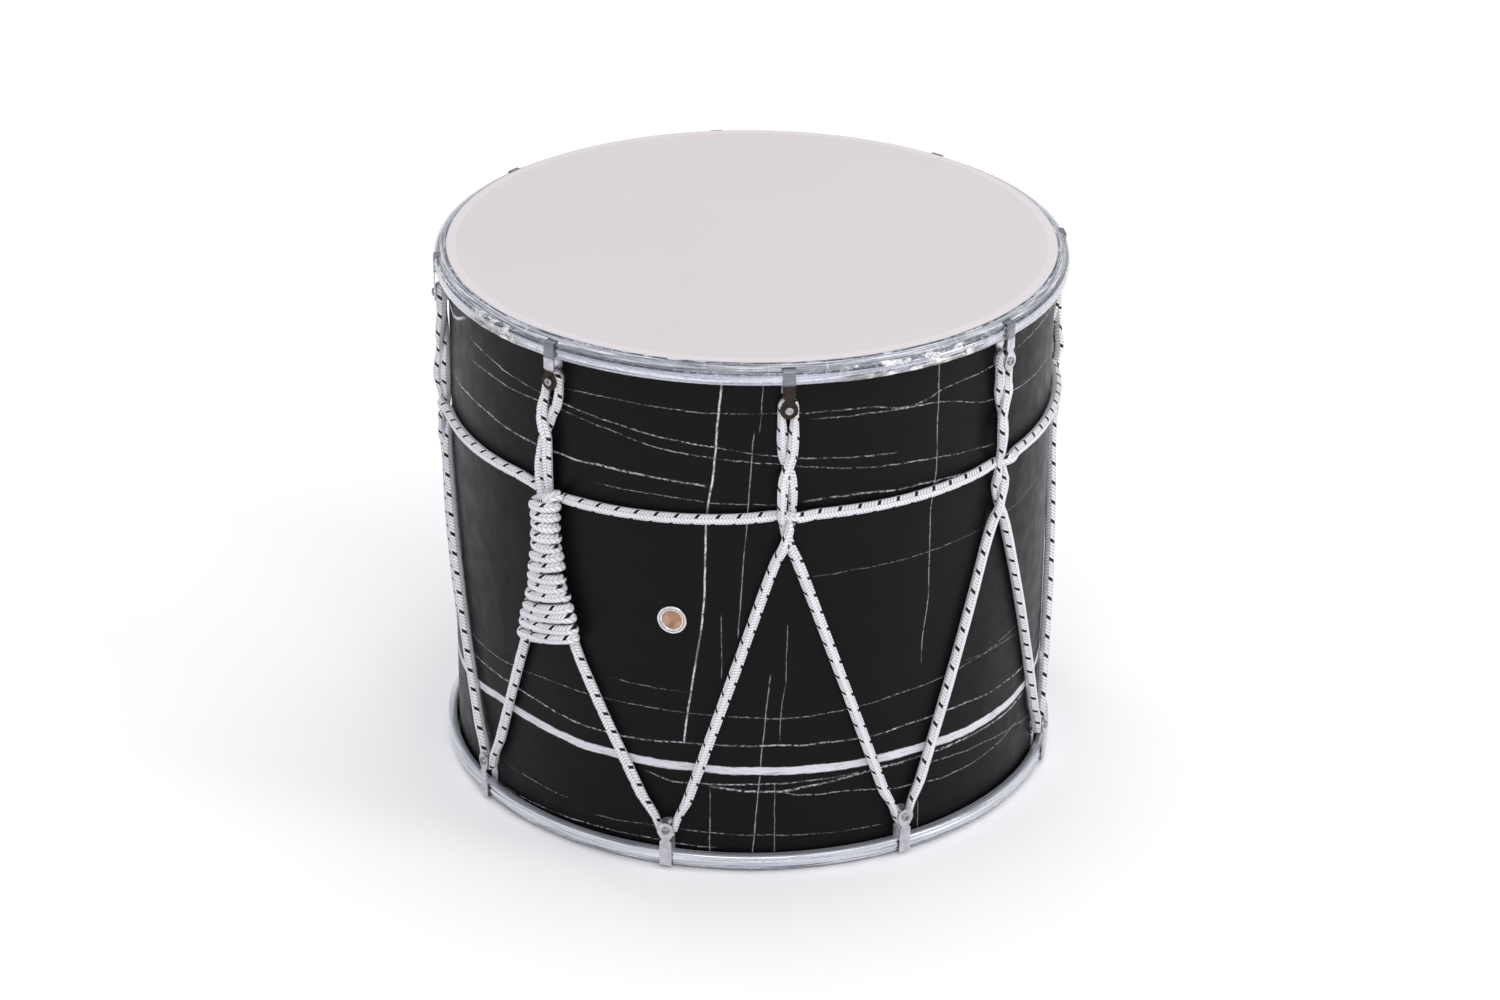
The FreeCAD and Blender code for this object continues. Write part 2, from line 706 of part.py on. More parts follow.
WAIST_JUNCTION = [(-8.0, 3.2), (-1.5, 3.8), (3.0, 8.1), (6.6, 8.1), (14.0, 3.7)]
WAIST_ENDS = (3.5, 3.5)
WAIST_SHARES = (0.19, 0.31, 0.44, 0.57, 0.70, 0.83)
WAIST_SAG = 1.0


def beside(azimuth, across, out, height):
    """Point `across` to the right of an azimuth and `out` from the shell, measured round it."""
    radius = SHELL_RADIUS + out
    return point_at(azimuth + math.degrees(across / radius), radius, height)


def lean(hook, height):
    """How far a pair's middle is from its hook's middle; only the pair with the winding leans."""
    if hook != WRAP_HOOK:
        return 0.0
    return max(WOUND_LEAN, WOUND_MIDDLE + WOUND_SLOPE * (height - CROSSINGS[hook][1]))


def strand(hook, rising):
    """A pair's strand from below its lower crossing up to the hook.

    The rising strand passes in front at the lower crossing and behind at the upper one.
    The falling strand does the opposite.  Above the winding, the rising strand is always in front.
    """
    azimuth = UPPER_HOOKS[hook]
    points = []
    for is_low, crossing in zip((True, False), CROSSINGS[hook]):
        side = -1 if rising == is_low else 1
        in_front = rising if hook == WRAP_HOOK else rising == is_low
        for across, out, rise in CROSSING:
            level = out if in_front else UNDERNEATH
            height = crossing + rise
            points.append(beside(azimuth, side * across + lean(hook, height), level, height))
        across, out = SPREAD
        if is_low and hook == WRAP_HOOK:
            across, out, height = WOUND_SPREAD
            points.append(beside(azimuth, lean(hook, height) - side * across, out, height))
        elif is_low:
            level = UNDERNEATH if in_front else out
            points.append(beside(azimuth, -side * across, level, WAIST_HEIGHTS[hook]))
    across, out, height = NEAR_HOOK
    return points + [beside(azimuth, lean(hook, height) - across if rising else across, out, height)]


def leg(hook, side):
    """One leg of a V, from under a pair down to the lower hook on its right (1) or left (-1)."""
    azimuth = UPPER_HOOKS[hook]
    lower = LOWER_HOOKS[hook] if side > 0 else LOWER_HOOKS[hook - 1]
    if hook == WRAP_HOOK:
        places = list(WOUND_RIGHT if side > 0 else WOUND_LEFT)
    else:
        across, out, below = LEG_TOP
        places = [(side * across, out, CROSSINGS[hook][0] + below)]
    across, out, height = places[-1]
    span = math.radians((lower - azimuth + 180.0) % 360.0 - 180.0) * (SHELL_RADIUS + out)
    end_out, end_height = LEG_BOTTOM
    lean = math.atan2(side * (span - across) - TURN_RADIUS, height - end_height + 9.5)
    reach = TURN_RADIUS / math.cos(lean) + 11.5 * math.tan(lean)
    end_across = span - side * reach
    for share in LEG_SHARES:
        places.append((across + (end_across - across) * share, out, height + (end_height - height) * share))
    points = [beside(azimuth, *place) for place in places]
    return points + [beside(lower, -side * reach, end_out, end_height)]


def lacing_route():
    """The lacing from one end, hidden in the winding, right round the drum and back into it."""
    route = [beside(UPPER_HOOKS[WRAP_HOOK], *LACING_START)]
    route += leg(WRAP_HOOK, 1)[2:]
    for number in range(HOOK_COUNT):
        route += [beside(LOWER_HOOKS[number - 1], *place) for place in LOWER_TURN]
        route += reversed(leg(number, -1))
        route += strand(number, True)
        route += [beside(UPPER_HOOKS[number], *place) for place in UPPER_TURN]
        route += reversed(strand(number, False))
        right_leg = leg(number, 1)
        route += right_leg[:1] if number == WRAP_HOOK else right_leg
    return route


def waist_route():
    """Round the drum from the winding back to it, behind each left strand and over each right one."""
    start = UPPER_HOOKS[WRAP_HOOK] - 360.0
    across, out = WAIST_ENDS
    points = [beside(start, across, out, WAIST_HEIGHTS[WRAP_HOOK])]
    for number in range(HOOK_COUNT):
        azimuth = UPPER_HOOKS[number - 1] if number > 0 else start
        pitch = UPPER_HOOKS[number] - azimuth
        height = WAIST_HEIGHTS[number - 1]
        following = WAIST_LAST_HEIGHT if number == WRAP_HOOK else WAIST_HEIGHTS[number]
        if number > 0:
            points += [beside(azimuth, *place, height) for place in WAIST_JUNCTION]
        for share in WAIST_SHARES:
            level = height + (following - height) * share - WAIST_SAG * math.sin(math.pi * share)
            points.append(beside(azimuth + pitch * share, 0.0, out, level))
    points.append(beside(start, -across, out, WAIST_HEIGHTS[WRAP_HOOK]))
    return points


def make_rope(name, points):
    """Round rope along a route; prints its length and its tightest bend."""
    path, radii = rounded_route(points)
    direction = (points[1] - points[0]).normalize()
    section = Part.Wire([Part.Circle(points[0], direction, ROPE).toShape()])
    solid = path.makePipeShell([section], True, True)
    expected = math.pi * ROPE ** 2 * path.Length
    print("%s: length %.0f mm, tightest bend %.1f mm, volume ratio %.4f"
          % (name, path.Length, min(radii), solid.Volume / expected))
    rope = document.addObject("Part::Feature", name)
    rope.Label = name
    rope.Shape = solid
    return rope


def make_winding():
    """Outer shape of the surplus rope that is wound round the pair left of the front one."""
    sections = []
    for share, half_width in WRAP_SECTIONS:
        ends = share in (0.0, 1.0)
        depth = WRAP_DEPTH - (1.6 if ends else 0.0)
        centre = Vector(SHELL_RADIUS + 0.3 + WRAP_DEPTH, 0, WRAP_BOTTOM + (WRAP_TOP - WRAP_BOTTOM) * share)
        side = centre + Vector(0, half_width, WRAP_TILT * half_width)
        ellipse = Part.Ellipse(side, centre + Vector(depth, 0, 0), centre)
        sections.append(Part.Wire([ellipse.toShape()]))
    winding = document.addObject("Part::Feature", "rope_tail_wrap")
    winding.Label = winding.Name
    winding.Shape = Part.makeLoft(sections, True, False)
    winding.Placement = facing(WRAP_AZIMUTH)
    return winding


# ------------------------------------------------------------------ build, check, write

def main():
    make_shell()
    make_laminate()
    make_vent()
    screw = make_screw_master()
    for side, azimuths in ((TOP, UPPER_HOOKS), (BOTTOM, LOWER_HOOKS)):
        make_reinforcement_ring(side)
        make_hoop(side)
        make_flesh_ring(side)
        for number, azimuth in enumerate(azimuths, start=1):
            make_hook(side, number, azimuth)
            make_roller(side, number, azimuth)
        make_screw_group(side, screw, azimuths)
    make_head("batter_head", TOP, UPPER_HOOKS)
    make_head("resonant_head", BOTTOM, LOWER_HOOKS)
    make_hoop_film(UPPER_HOOKS)
    make_rope("lacing_rope", lacing_route())
    make_rope("waist_rope", waist_route())
    make_winding()
    document.recompute()

    for item in document.Objects:
        if "Invalid" in item.State or "Error" in item.State:
            raise RuntimeError(item.Name + " failed: " + ", ".join(item.State))

    os.makedirs("parts", exist_ok=True)
    written = 0
    for item in document.Objects:
        is_part = item.TypeId in ("PartDesign::Body", "Part::Feature") and item.Name != "hook_screw_master"
        if not is_part:
            continue
        if item.Shape.isNull() or not item.Shape.isValid():
            raise RuntimeError(item.Label + " has no valid shape")
        item.Shape.exportStep("parts/%s.step" % item.Label)
        written += 1
    print("parts written:", written)


main()
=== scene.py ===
import json
import math

import bmesh
import bpy
import numpy as np
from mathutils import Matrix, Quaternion, Vector


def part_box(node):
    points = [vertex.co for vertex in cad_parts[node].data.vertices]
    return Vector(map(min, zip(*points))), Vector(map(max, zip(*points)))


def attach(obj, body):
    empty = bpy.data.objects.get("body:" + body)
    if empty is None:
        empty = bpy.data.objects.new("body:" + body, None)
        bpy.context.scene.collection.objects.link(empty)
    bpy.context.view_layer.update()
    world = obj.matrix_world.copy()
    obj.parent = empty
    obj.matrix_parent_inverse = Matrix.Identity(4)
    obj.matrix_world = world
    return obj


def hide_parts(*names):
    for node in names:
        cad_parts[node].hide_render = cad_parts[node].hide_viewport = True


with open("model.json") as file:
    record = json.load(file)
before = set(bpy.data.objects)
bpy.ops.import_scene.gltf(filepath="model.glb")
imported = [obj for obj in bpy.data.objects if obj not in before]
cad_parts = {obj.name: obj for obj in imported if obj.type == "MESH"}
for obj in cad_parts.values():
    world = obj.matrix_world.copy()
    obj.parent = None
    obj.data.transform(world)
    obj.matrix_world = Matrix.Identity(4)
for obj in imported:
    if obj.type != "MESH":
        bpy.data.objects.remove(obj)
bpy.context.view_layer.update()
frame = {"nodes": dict(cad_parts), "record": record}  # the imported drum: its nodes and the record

# A rope-tensioned bass drum, standing on its lower head.  Metres, +Z up.
# Azimuths are degrees from the front (-Y), growing towards +X.
# Ropes are laid out in millimetres: across from a hook, out from the shell, and up.

MM = 0.001
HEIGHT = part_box("batter_head")[1].z
MIDDLE = Vector((0, 0, HEIGHT / 2))
SHELL_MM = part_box("shell_laminate")[1].x / MM
DEGREE_MM = math.radians(SHELL_MM)  # one degree round the shell
UPPER_HOOKS = [-0.5, 44.5, 90.0, 135.0, 180.0, 225.0, 270.0, 316.0]
LOWER_HOOKS = [22.5, 67.5, 112.5, 157.5, 202.5, 247.5, 295.5, 338.3]
HOOK_COUNT = len(UPPER_HOOKS)
WRAP_HOOK = HOOK_COUNT - 1  # the upper hook, counted from the front one, with the winding
WRAP_AZIMUTH = -45.4  # the winding's middle
UPPER_EYE = 290.5  # height of the hooks' eyes, mm
LOWER_EYE = 25.5
ROPE_RADIUS = 3.0 * MM
BRAID_LEAD = 11.5 * MM  # one turn of a yarn round the rope
RANDOM = np.random.default_rng(7)


def add_object(name, data):
    """A new object in the scene."""
    made = bpy.data.objects.new(name, data)
    bpy.context.scene.collection.objects.link(made)
    return made


def signed(azimuth):
    """The azimuth from -180 to 180."""
    return (azimuth + 180.0) % 360.0 - 180.0


def direction(azimuth, elevation):
    """The way out from the drum, from degrees round it and up."""
    turn = math.radians(azimuth)
    rise = math.radians(elevation)
    return Vector((math.sin(turn) * math.cos(rise), -math.cos(turn) * math.cos(rise), math.sin(rise)))


# ---------------------- camera

CAMERA_AZIMUTH = -7.0
CAMERA_ELEVATION = 25.67
CAMERA_DISTANCE = 2.436  # from the drum's middle
CAMERA_SENSOR = 36.0  # width, mm
CAMERA_LENS = 98.74
CAMERA_ROLL = 0.45
AIM_BELOW_MIDDLE = 0.0084  # across the view, so the drum sits a little high in the picture


def make_camera():
    back = direction(CAMERA_AZIMUTH, CAMERA_ELEVATION)
    data = bpy.data.cameras.new("camera")
    data.lens = CAMERA_LENS
    data.sensor_width = CAMERA_SENSOR
    camera = add_object("camera", data)
    camera.location = MIDDLE + back * CAMERA_DISTANCE
    up = Vector((0, 0, 1)) - back * back.z
    aim = MIDDLE - up.normalized() * AIM_BELOW_MIDDLE
    turn = (aim - camera.location).to_track_quat("-Z", "Y")
    camera.rotation_mode = "QUATERNION"
    camera.rotation_quaternion = turn @ Quaternion((0, 0, 1), math.radians(CAMERA_ROLL))
    bpy.context.scene.camera = camera


make_camera()


# ---------------------- shader helpers

class Value:
    """A number that varies over a surface: one output of a shader node."""

    def __init__(self, tree, socket):
        self.tree = tree
        self.socket = socket

    def math(self, operation, *others):
        node = self.tree.nodes.new("ShaderNodeMath")
        node.operation = operation
        for socket, value in zip(node.inputs, (self,) + others):
            feed(self.tree, socket, value)
        return Value(self.tree, node.outputs[0])

    def __add__(self, other):
        return self.math("ADD", other)

    def __sub__(self, other):
        return self.math("SUBTRACT", other)

    def __mul__(self, other):
        return self.math("MULTIPLY", other)

    def __truediv__(self, other):
        return self.math("DIVIDE", other)

    def ramp(self, low, high, start=0.0, end=1.0):
        """start at low and before it, end at high and after it, and straight between them."""
        node = self.tree.nodes.new("ShaderNodeMapRange")
        feed(self.tree, node.inputs["Value"], self)
        for name, value in (("From Min", low), ("From Max", high), ("To Min", start), ("To Max", end)):
            feed(self.tree, node.inputs[name], value)
        return Value(self.tree, node.outputs[0])

    def band(self, low, from_here, to_here, high):
        """1 between the middle two, and 0 before low and after high."""
        return self.ramp(low, from_here) * self.ramp(to_here, high, 1.0, 0.0)

    def colours(self, *stops):
        """A colour for each (position, colour) stop."""
        node = self.tree.nodes.new("ShaderNodeValToRGB")
        while len(node.color_ramp.elements) < len(stops):
            node.color_ramp.elements.new(0.5)
        for element, (position, colour) in zip(node.color_ramp.elements, stops):
            element.position = position
            element.color = (*colour, 1.0)
        feed(self.tree, node.inputs[0], self)
        return Value(self.tree, node.outputs[0])

    def line(self, knots):
        """A smooth line through knots, both ways from 0 to 1: its place, and 1 where it is drawn."""
        node = self.tree.nodes.new("ShaderNodeFloatCurve")
        curve = node.mapping.curves[0]
        curve.points[0].location = knots[0]
        curve.points[1].location = knots[-1]
        for place in knots[1:-1]:
            curve.points.new(*place)
        for point in curve.points:
            point.handle_type = "AUTO_CLAMPED"
        node.mapping.extend = "HORIZONTAL"
        node.mapping.update()
        feed(self.tree, node.inputs["Value"], self)
        first = knots[0][0]
        last = knots[-1][0]
        drawn = self.band(first - 0.002, first + 0.008, last - 0.008, last + 0.002)
        return Value(self.tree, node.outputs[0]), drawn


def feed(tree, socket, value):
    if isinstance(value, Value):
        tree.links.new(value.socket, socket)
    else:
        socket.default_value = value


def blend(amount, first, second):
    """Colour mixed from first to second by a varying amount."""
    tree = amount.tree
    node = tree.nodes.new("ShaderNodeMix")
    node.data_type = "RGBA"
    feed(tree, node.inputs["Factor"], amount)
    for name, colour in (("A", first), ("B", second)):
        socket = [s for s in node.inputs if s.name == name and s.type == "RGBA"][0]
        feed(tree, socket, colour if isinstance(colour, Value) else (*colour, 1.0))
    return Value(tree, [s for s in node.outputs if s.type == "RGBA"][0])


def vector_of(x, y, z):
    node = x.tree.nodes.new("ShaderNodeCombineXYZ")
    for socket, value in zip(node.inputs, (x, y, z)):
        feed(x.tree, socket, value)
    return Value(x.tree, node.outputs[0])


def noise(place, scale, detail=2.0, roughness=0.5):
    node = place.tree.nodes.new("ShaderNodeTexNoise")
    feed(place.tree, node.inputs["Vector"], place)
    node.inputs["Scale"].default_value = scale
    node.inputs["Detail"].default_value = detail
    node.inputs["Roughness"].default_value = roughness
    return Value(place.tree, node.outputs["Fac"])


class Material:
    """A Principled material and the coordinates that its patterns use."""

    def __init__(self, name, **sockets):
        self.material = bpy.data.materials.new(name)
        self.material.use_nodes = True
        self.tree = self.material.node_tree
        self.shader = self.tree.nodes["Principled BSDF"]
        for socket, value in sockets.items():
            self.shader.inputs[socket.replace("_", " ")].default_value = value

    def place(self):
        """Position in the drum's frame, metres."""
        node = self.tree.nodes.new("ShaderNodeTexCoord")
        return Value(self.tree, node.outputs["Object"])

    def parts(self, vector):
        node = self.tree.nodes.new("ShaderNodeSeparateXYZ")
        feed(self.tree, node.inputs[0], vector)
        return [Value(self.tree, socket) for socket in node.outputs]

    def round_place(self):
        """Degrees round the drum, millimetres from its axis and millimetres up."""
        x, y, z = self.parts(self.place())
        azimuth = x.math("ARCTAN2", y * -1.0) * math.degrees(1.0)
        radius = (x * x + y * y).math("SQRT") * (1.0 / MM)
        return azimuth, radius, z * (1.0 / MM)

    def uv(self, name):
        node = self.tree.nodes.new("ShaderNodeUVMap")
        node.uv_map = name
        return self.parts(Value(self.tree, node.outputs[0]))[:2]

    def feed(self, name, value):
        feed(self.tree, self.shader.inputs[name], value)

    def colour(self, value):
        self.feed("Base Color", value)

    def roughness(self, value):
        self.feed("Roughness", value)

    def bump(self, *layers):
        """Layers of (height, depth in metres)."""
        last = None
        for height, depth in layers:
            node = self.tree.nodes.new("ShaderNodeBump")
            node.inputs["Distance"].default_value = depth
            feed(self.tree, node.inputs["Height"], height)
            if last is not None:
                self.tree.links.new(last, node.inputs["Normal"])
            last = node.outputs["Normal"]
        self.tree.links.new(last, self.shader.inputs["Normal"])


# ---------------------- materials

VEIN_SPAN = 316.0  # height of the band that the veins are drawn on, mm
# Veins that run round the laminate: half width in mm, brightness, and (azimuth, height in mm) knots.
VEINS_ROUND = [
    (0.45, 0.75, [(-73, 286), (-57, 280), (-40, 274), (-27, 269), (-10, 263), (2, 258), (20, 254)]),
    (0.4, 0.6, [(-71, 272), (-58, 272), (-44, 271), (-21, 260), (-3, 255), (9, 250), (26, 245), (44, 238)]),
    (0.65, 0.9, [(-86, 247), (-70, 248), (-50, 244), (-36, 244), (-14, 241)]),
    (0.35, 0.45, [(-46, 283), (-34, 286), (-16, 285), (1, 285)]),
    (0.45, 0.6, [(1, 285), (14, 284), (23, 280), (31, 285), (43, 287), (62, 291), (100, 284)]),
    (0.4, 0.6, [(4, 281), (16, 280), (28, 278), (44, 266), (70, 262)]),
    (0.35, 0.4, [(-36, 233), (-22, 232), (-2, 230)]),
    (0.6, 0.7, [(3, 232), (9, 233), (21, 231), (29, 230), (44, 227), (66, 226)]),
    (0.35, 0.3, [(4, 185), (24, 187), (40, 188), (66, 193)]),
    (0.55, 0.8, [(-180, 84), (-120, 80), (-74, 81), (-60, 83), (-35, 77), (-11, 80), (15, 79), (29, 81),
                  (60, 76), (130, 82), (180, 84)]),
    (0.35, 0.45, [(-77, 93), (-64, 94), (-39, 99), (-18, 99), (2, 97), (11, 99), (33, 104), (56, 109)]),
    (0.3, 0.3, [(-34, 113), (-18, 112)]),
    (0.35, 0.4, [(38, 108), (56, 103), (80, 96)]),
    (0.5, 0.7, [(-26, 58), (-20, 54), (-5, 55), (9, 56), (16, 57)]),
    (0.75, 0.85, [(-14, 53), (-5, 50), (-3, 50), (7, 53), (20, 57), (29, 57), (51, 56), (61, 57)]),
    (0.4, 0.55, [(-2, 51), (3, 47), (15, 45), (25, 40), (39, 37), (58, 43)]),
    (0.4, 0.45, [(29, 51), (43, 47), (55, 42), (64, 36), (90, 31)]),
    (0.4, 0.6, [(-66, 10), (-52, 12), (-31, 14), (-24, 14), (-13, 13)]),
    (0.3, 0.35, [(-66, 28), (-43, 26)]),
    (0.35, 0.4, [(-38, 21), (-20, 23), (2, 21), (20, 19)]),
    (0.6, 0.8, [(84, 262), (110, 250), (140, 254), (170, 247)]),
    (0.4, 0.55, [(78, 240), (120, 236), (150, 231), (178, 226)]),
    (0.45, 0.6, [(-178, 272), (-150, 268), (-120, 274), (-96, 268)]),
    (0.35, 0.45, [(-170, 236), (-140, 243), (-104, 238)]),
    (0.4, 0.45, [(96, 44), (130, 49), (165, 41)]),
    (0.4, 0.45, [(-176, 38), (-140, 34), (-100, 41)]),
    (0.35, 0.45, [(86, 274), (118, 267), (142, 270), (176, 262)]),
    (0.35, 0.4, [(104, 104), (132, 99), (160, 106)]),
    (0.3, 0.4, [(88, 60), (124, 63), (158, 57), (178, 61)]),
    (0.35, 0.45, [(-178, 58), (-150, 63), (-112, 58)]),
    (0.35, 0.45, [(-168, 104), (-134, 98), (-98, 102)]),
    (0.4, 0.5, [(-160, 254), (-128, 258), (-92, 251)]),
    (0.35, 0.4, [(116, 22), (150, 17), (178, 21)]),
    (0.35, 0.4, [(-150, 15), (-118, 20), (-84, 16)]),
]
# The one broad vein, all the way round.
BROAD_VEIN = [(-180, 60), (-140, 66), (-100, 61), (-73, 64), (-61, 68), (-41, 65), (-13, 64),
              (3, 63), (28, 63), (40, 61), (61, 62), (100, 67), (140, 62), (180, 60)]
BROAD_VEIN_HALF = 2.6
# Veins that run up the laminate: half width in mm, brightness, and (height in mm, azimuth) knots.
VEINS_UP = [
    (0.62, 1.0, [(79, -19), (103, -18), (126, -17), (167, -15.3), (220, -14.8), (243, -13.8), (273, -13),
                  (305, -12)]),
    (0.3, 0.45, [(274, -5.4), (305, -4.8)]),
    (0.35, 0.45, [(148, -9), (198, -8), (246, -7), (274, -6.3)]),
    (0.35, 0.5, [(118, 26.8), (133, 27), (166, 28), (209, 28), (241, 29), (303, 29)]),
    (0.3, 0.4, [(122, -12), (162, -12)]),
    (0.3, 0.35, [(82, -1.2), (99, -1), (122, -0.2), (156, 0)]),
    (0.35, 0.45, [(9, -14), (51, -14)]),
    (0.35, 0.5, [(9, -6), (54, -5), (75, -4.5), (125, -3)]),
    (0.3, 0.35, [(9, -2), (56, -2)]),
    (0.3, 0.35, [(9, 27), (28, 27)]),
    (0.45, 0.6, [(9, 96), (120, 99), (220, 94), (305, 98)]),
    (0.35, 0.45, [(40, 142), (160, 147), (300, 143)]),
    (0.45, 0.6, [(12, -132), (150, -128), (303, -135)]),
    (0.35, 0.45, [(30, 168), (140, 171), (210, 169)]),
    (0.35, 0.45, [(120, -160), (220, -157), (303, -159)]),
    (0.3, 0.4, [(9, 118), (90, 121)]),
    (0.35, 0.45, [(90, -101), (200, -104), (300, -100)]),
]
# The short thick hooked stroke under the hoop at the left.
HOOKED_STROKE = (0.9, 0.8, [(-92, 292), (-88, 285), (-84, 285), (-79, 288), (-74, 295)])


def knots_round(knots):
    """(azimuth, height) knots as shares of a turn and of the veins' height."""
    return [((azimuth + 180.0) / 360.0, height / VEIN_SPAN) for azimuth, height in knots]


def inked(distance, half, brightness, core=0.2, edge=1.2):
    """A vein's ink, from the distance to its middle in mm; its core and edge are shares of half."""
    return distance.math("ABSOLUTE").ramp(core * half, half * edge, brightness, 0.0)


def make_laminate_material():
    """Near-black satin laminate with fine broken white veins."""
    made = Material("marble_laminate", Roughness=0.40, Specular_IOR_Level=0.10)
    azimuth, _, height = made.round_place()
    around = azimuth * DEGREE_MM
    flat = vector_of(around, height, 0.0)
    slow = noise(flat, 0.035, 2.0) - 0.5
    fast = noise(vector_of(around * 0.5, height * 0.5, 3.0), 0.45, 3.0, 0.7) - 0.5
    wandering_height = height + slow * 3.0 + fast * 1.3
    wandering_azimuth = azimuth + slow * 0.6 + fast * 0.22
    dashes_round = noise(vector_of(around, height * 1.2, 9.0), 0.42, 6.0, 0.85)
    dashes_up = noise(vector_of(azimuth * 4.0, height, 17.0), 0.30, 6.0, 0.85)
    stretches = noise(vector_of(around, height * 2.0, 31.0), 0.045, 2.0)
    broken_round = dashes_round.ramp(0.46, 0.55, 0.0, 1.0) * stretches.ramp(0.36, 0.50, 0.35, 1.0)
    broken_up = dashes_up.ramp(0.40, 0.52, 0.15, 1.0) * stretches.ramp(0.34, 0.48, 0.30, 1.0)
    turns = azimuth.ramp(-180, 180)
    share = height / VEIN_SPAN
    round_veins = turns * 0.0
    for half, brightness, knots in VEINS_ROUND:
        centre, drawn = turns.line(knots_round(knots))
        vein = inked(wandering_height - centre * VEIN_SPAN, half, brightness) * drawn
        round_veins = round_veins.math("MAXIMUM", vein)
    up_veins = turns * 0.0
    for half, brightness, knots in VEINS_UP:
        centre, drawn = share.line([(z / VEIN_SPAN, (a + 180.0) / 360.0) for z, a in knots])
        away = (wandering_azimuth - (centre * 360.0 - 180.0)) * DEGREE_MM
        up_veins = up_veins.math("MAXIMUM", inked(away, half, brightness) * drawn)
    half, brightness, knots = HOOKED_STROKE
    centre, drawn = turns.line(knots_round(knots))
    stroke = inked(wandering_height - centre * VEIN_SPAN, half, brightness, 0.5, 1.4) * drawn
    centre, _ = turns.line(knots_round(BROAD_VEIN))
    streaks = noise(vector_of(around * 0.05, height, 5.0), 1.6, 3.0, 0.6)
    broad_edge = (height + slow * 3.0 + fast * 1.2 - centre * VEIN_SPAN).math("ABSOLUTE")
    broad = broad_edge.ramp(BROAD_VEIN_HALF - 0.5, BROAD_VEIN_HALF + 0.2, 1.0, 0.0)
    broad_paint = (broad * streaks.ramp(0.30, 0.50, 0.45, 0.92)).math("MAXIMUM", stroke)
    fine_veins = (round_veins * broken_round).math("MAXIMUM", up_veins * broken_up)
    white = fine_veins.math("MAXIMUM", broad_paint)
    print_grain = noise(flat, 1.1, 3.0)
    black = print_grain.colours((0.3, (0.0030, 0.0030, 0.0034)), (0.7, (0.0046, 0.0045, 0.0050)))
    made.colour(blend(white, black, (0.70, 0.685, 0.74)))
    made.roughness(noise(flat, 0.09, 3.0).ramp(0.3, 0.7, 0.34, 0.46))
    made.bump((noise(flat, 0.035, 2.0), 0.0009), (noise(flat, 1.6, 2.0), 0.00003))
    return made.material


def make_head_material():
    """Matte coated film, bare and a little whiter outside the coating, grey on its collar, and with a
    broken line of painted shade at the collar's inner edge.
    """
    made = Material("coated_film", Roughness=0.62, Specular_IOR_Level=0.3)
    azimuth, radius, height = made.round_place()
    place = made.place()
    cloud = noise(place, 9.0, 3.0)
    fine = noise(place, 900.0, 2.0)
    coating = cloud.colours((0.30, (0.590, 0.545, 0.542)), (0.70, (0.604, 0.559, 0.557)))
    bare = fine.colours((0.3, (0.618, 0.582, 0.594)), (0.7, (0.640, 0.605, 0.617)))
    edge = radius + (noise(place, 60.0, 2.0) - 0.5) * 0.8
    on_rim = edge.ramp(169.6, 170.2)
    collar = radius.ramp(175.3, 175.9)
    ticks = noise(vector_of(azimuth * 0.9, height * 0.06, 0.0), 1.0, 2.0, 0.8)
    pulled = noise(vector_of(azimuth * 0.10, height * 1.5, radius * 1.5), 1.0, 4.0, 0.7)
    grey = pulled.colours((0.38, (0.09, 0.10, 0.12)), (0.50, (0.30, 0.31, 0.35)),
                          (0.60, (0.66, 0.67, 0.71)))
    pleats_and_collar_shade = blend(ticks.ramp(0.62, 0.68, 0.0, 0.6), grey, (0.62, 0.62, 0.68))
    # Painted shade: a broken dark line on the film at the collar's inner edge, where it bends down over the
    # hoop.
    collar_shade_dashes = noise(vector_of(azimuth * 0.5, radius * 0.4, 5.0), 1.0, 4.0, 0.7)
    collar_shade_line = radius.band(175.8, 176.0, 176.7, 177.0)
    pleats_and_collar_shade = blend(collar_shade_dashes.ramp(0.44, 0.52, 0.0, 0.9) * collar_shade_line, pleats_and_collar_shade, (0.035, 0.038, 0.05))
    made.colour(blend(collar, blend(on_rim, coating, bare), pleats_and_collar_shade))
    made.roughness(collar.ramp(0.0, 1.0, 0.62, 0.28))
    made.bump((fine, 0.000012), (on_rim, -0.00008), (ticks * collar, 0.0006))
    return made.material


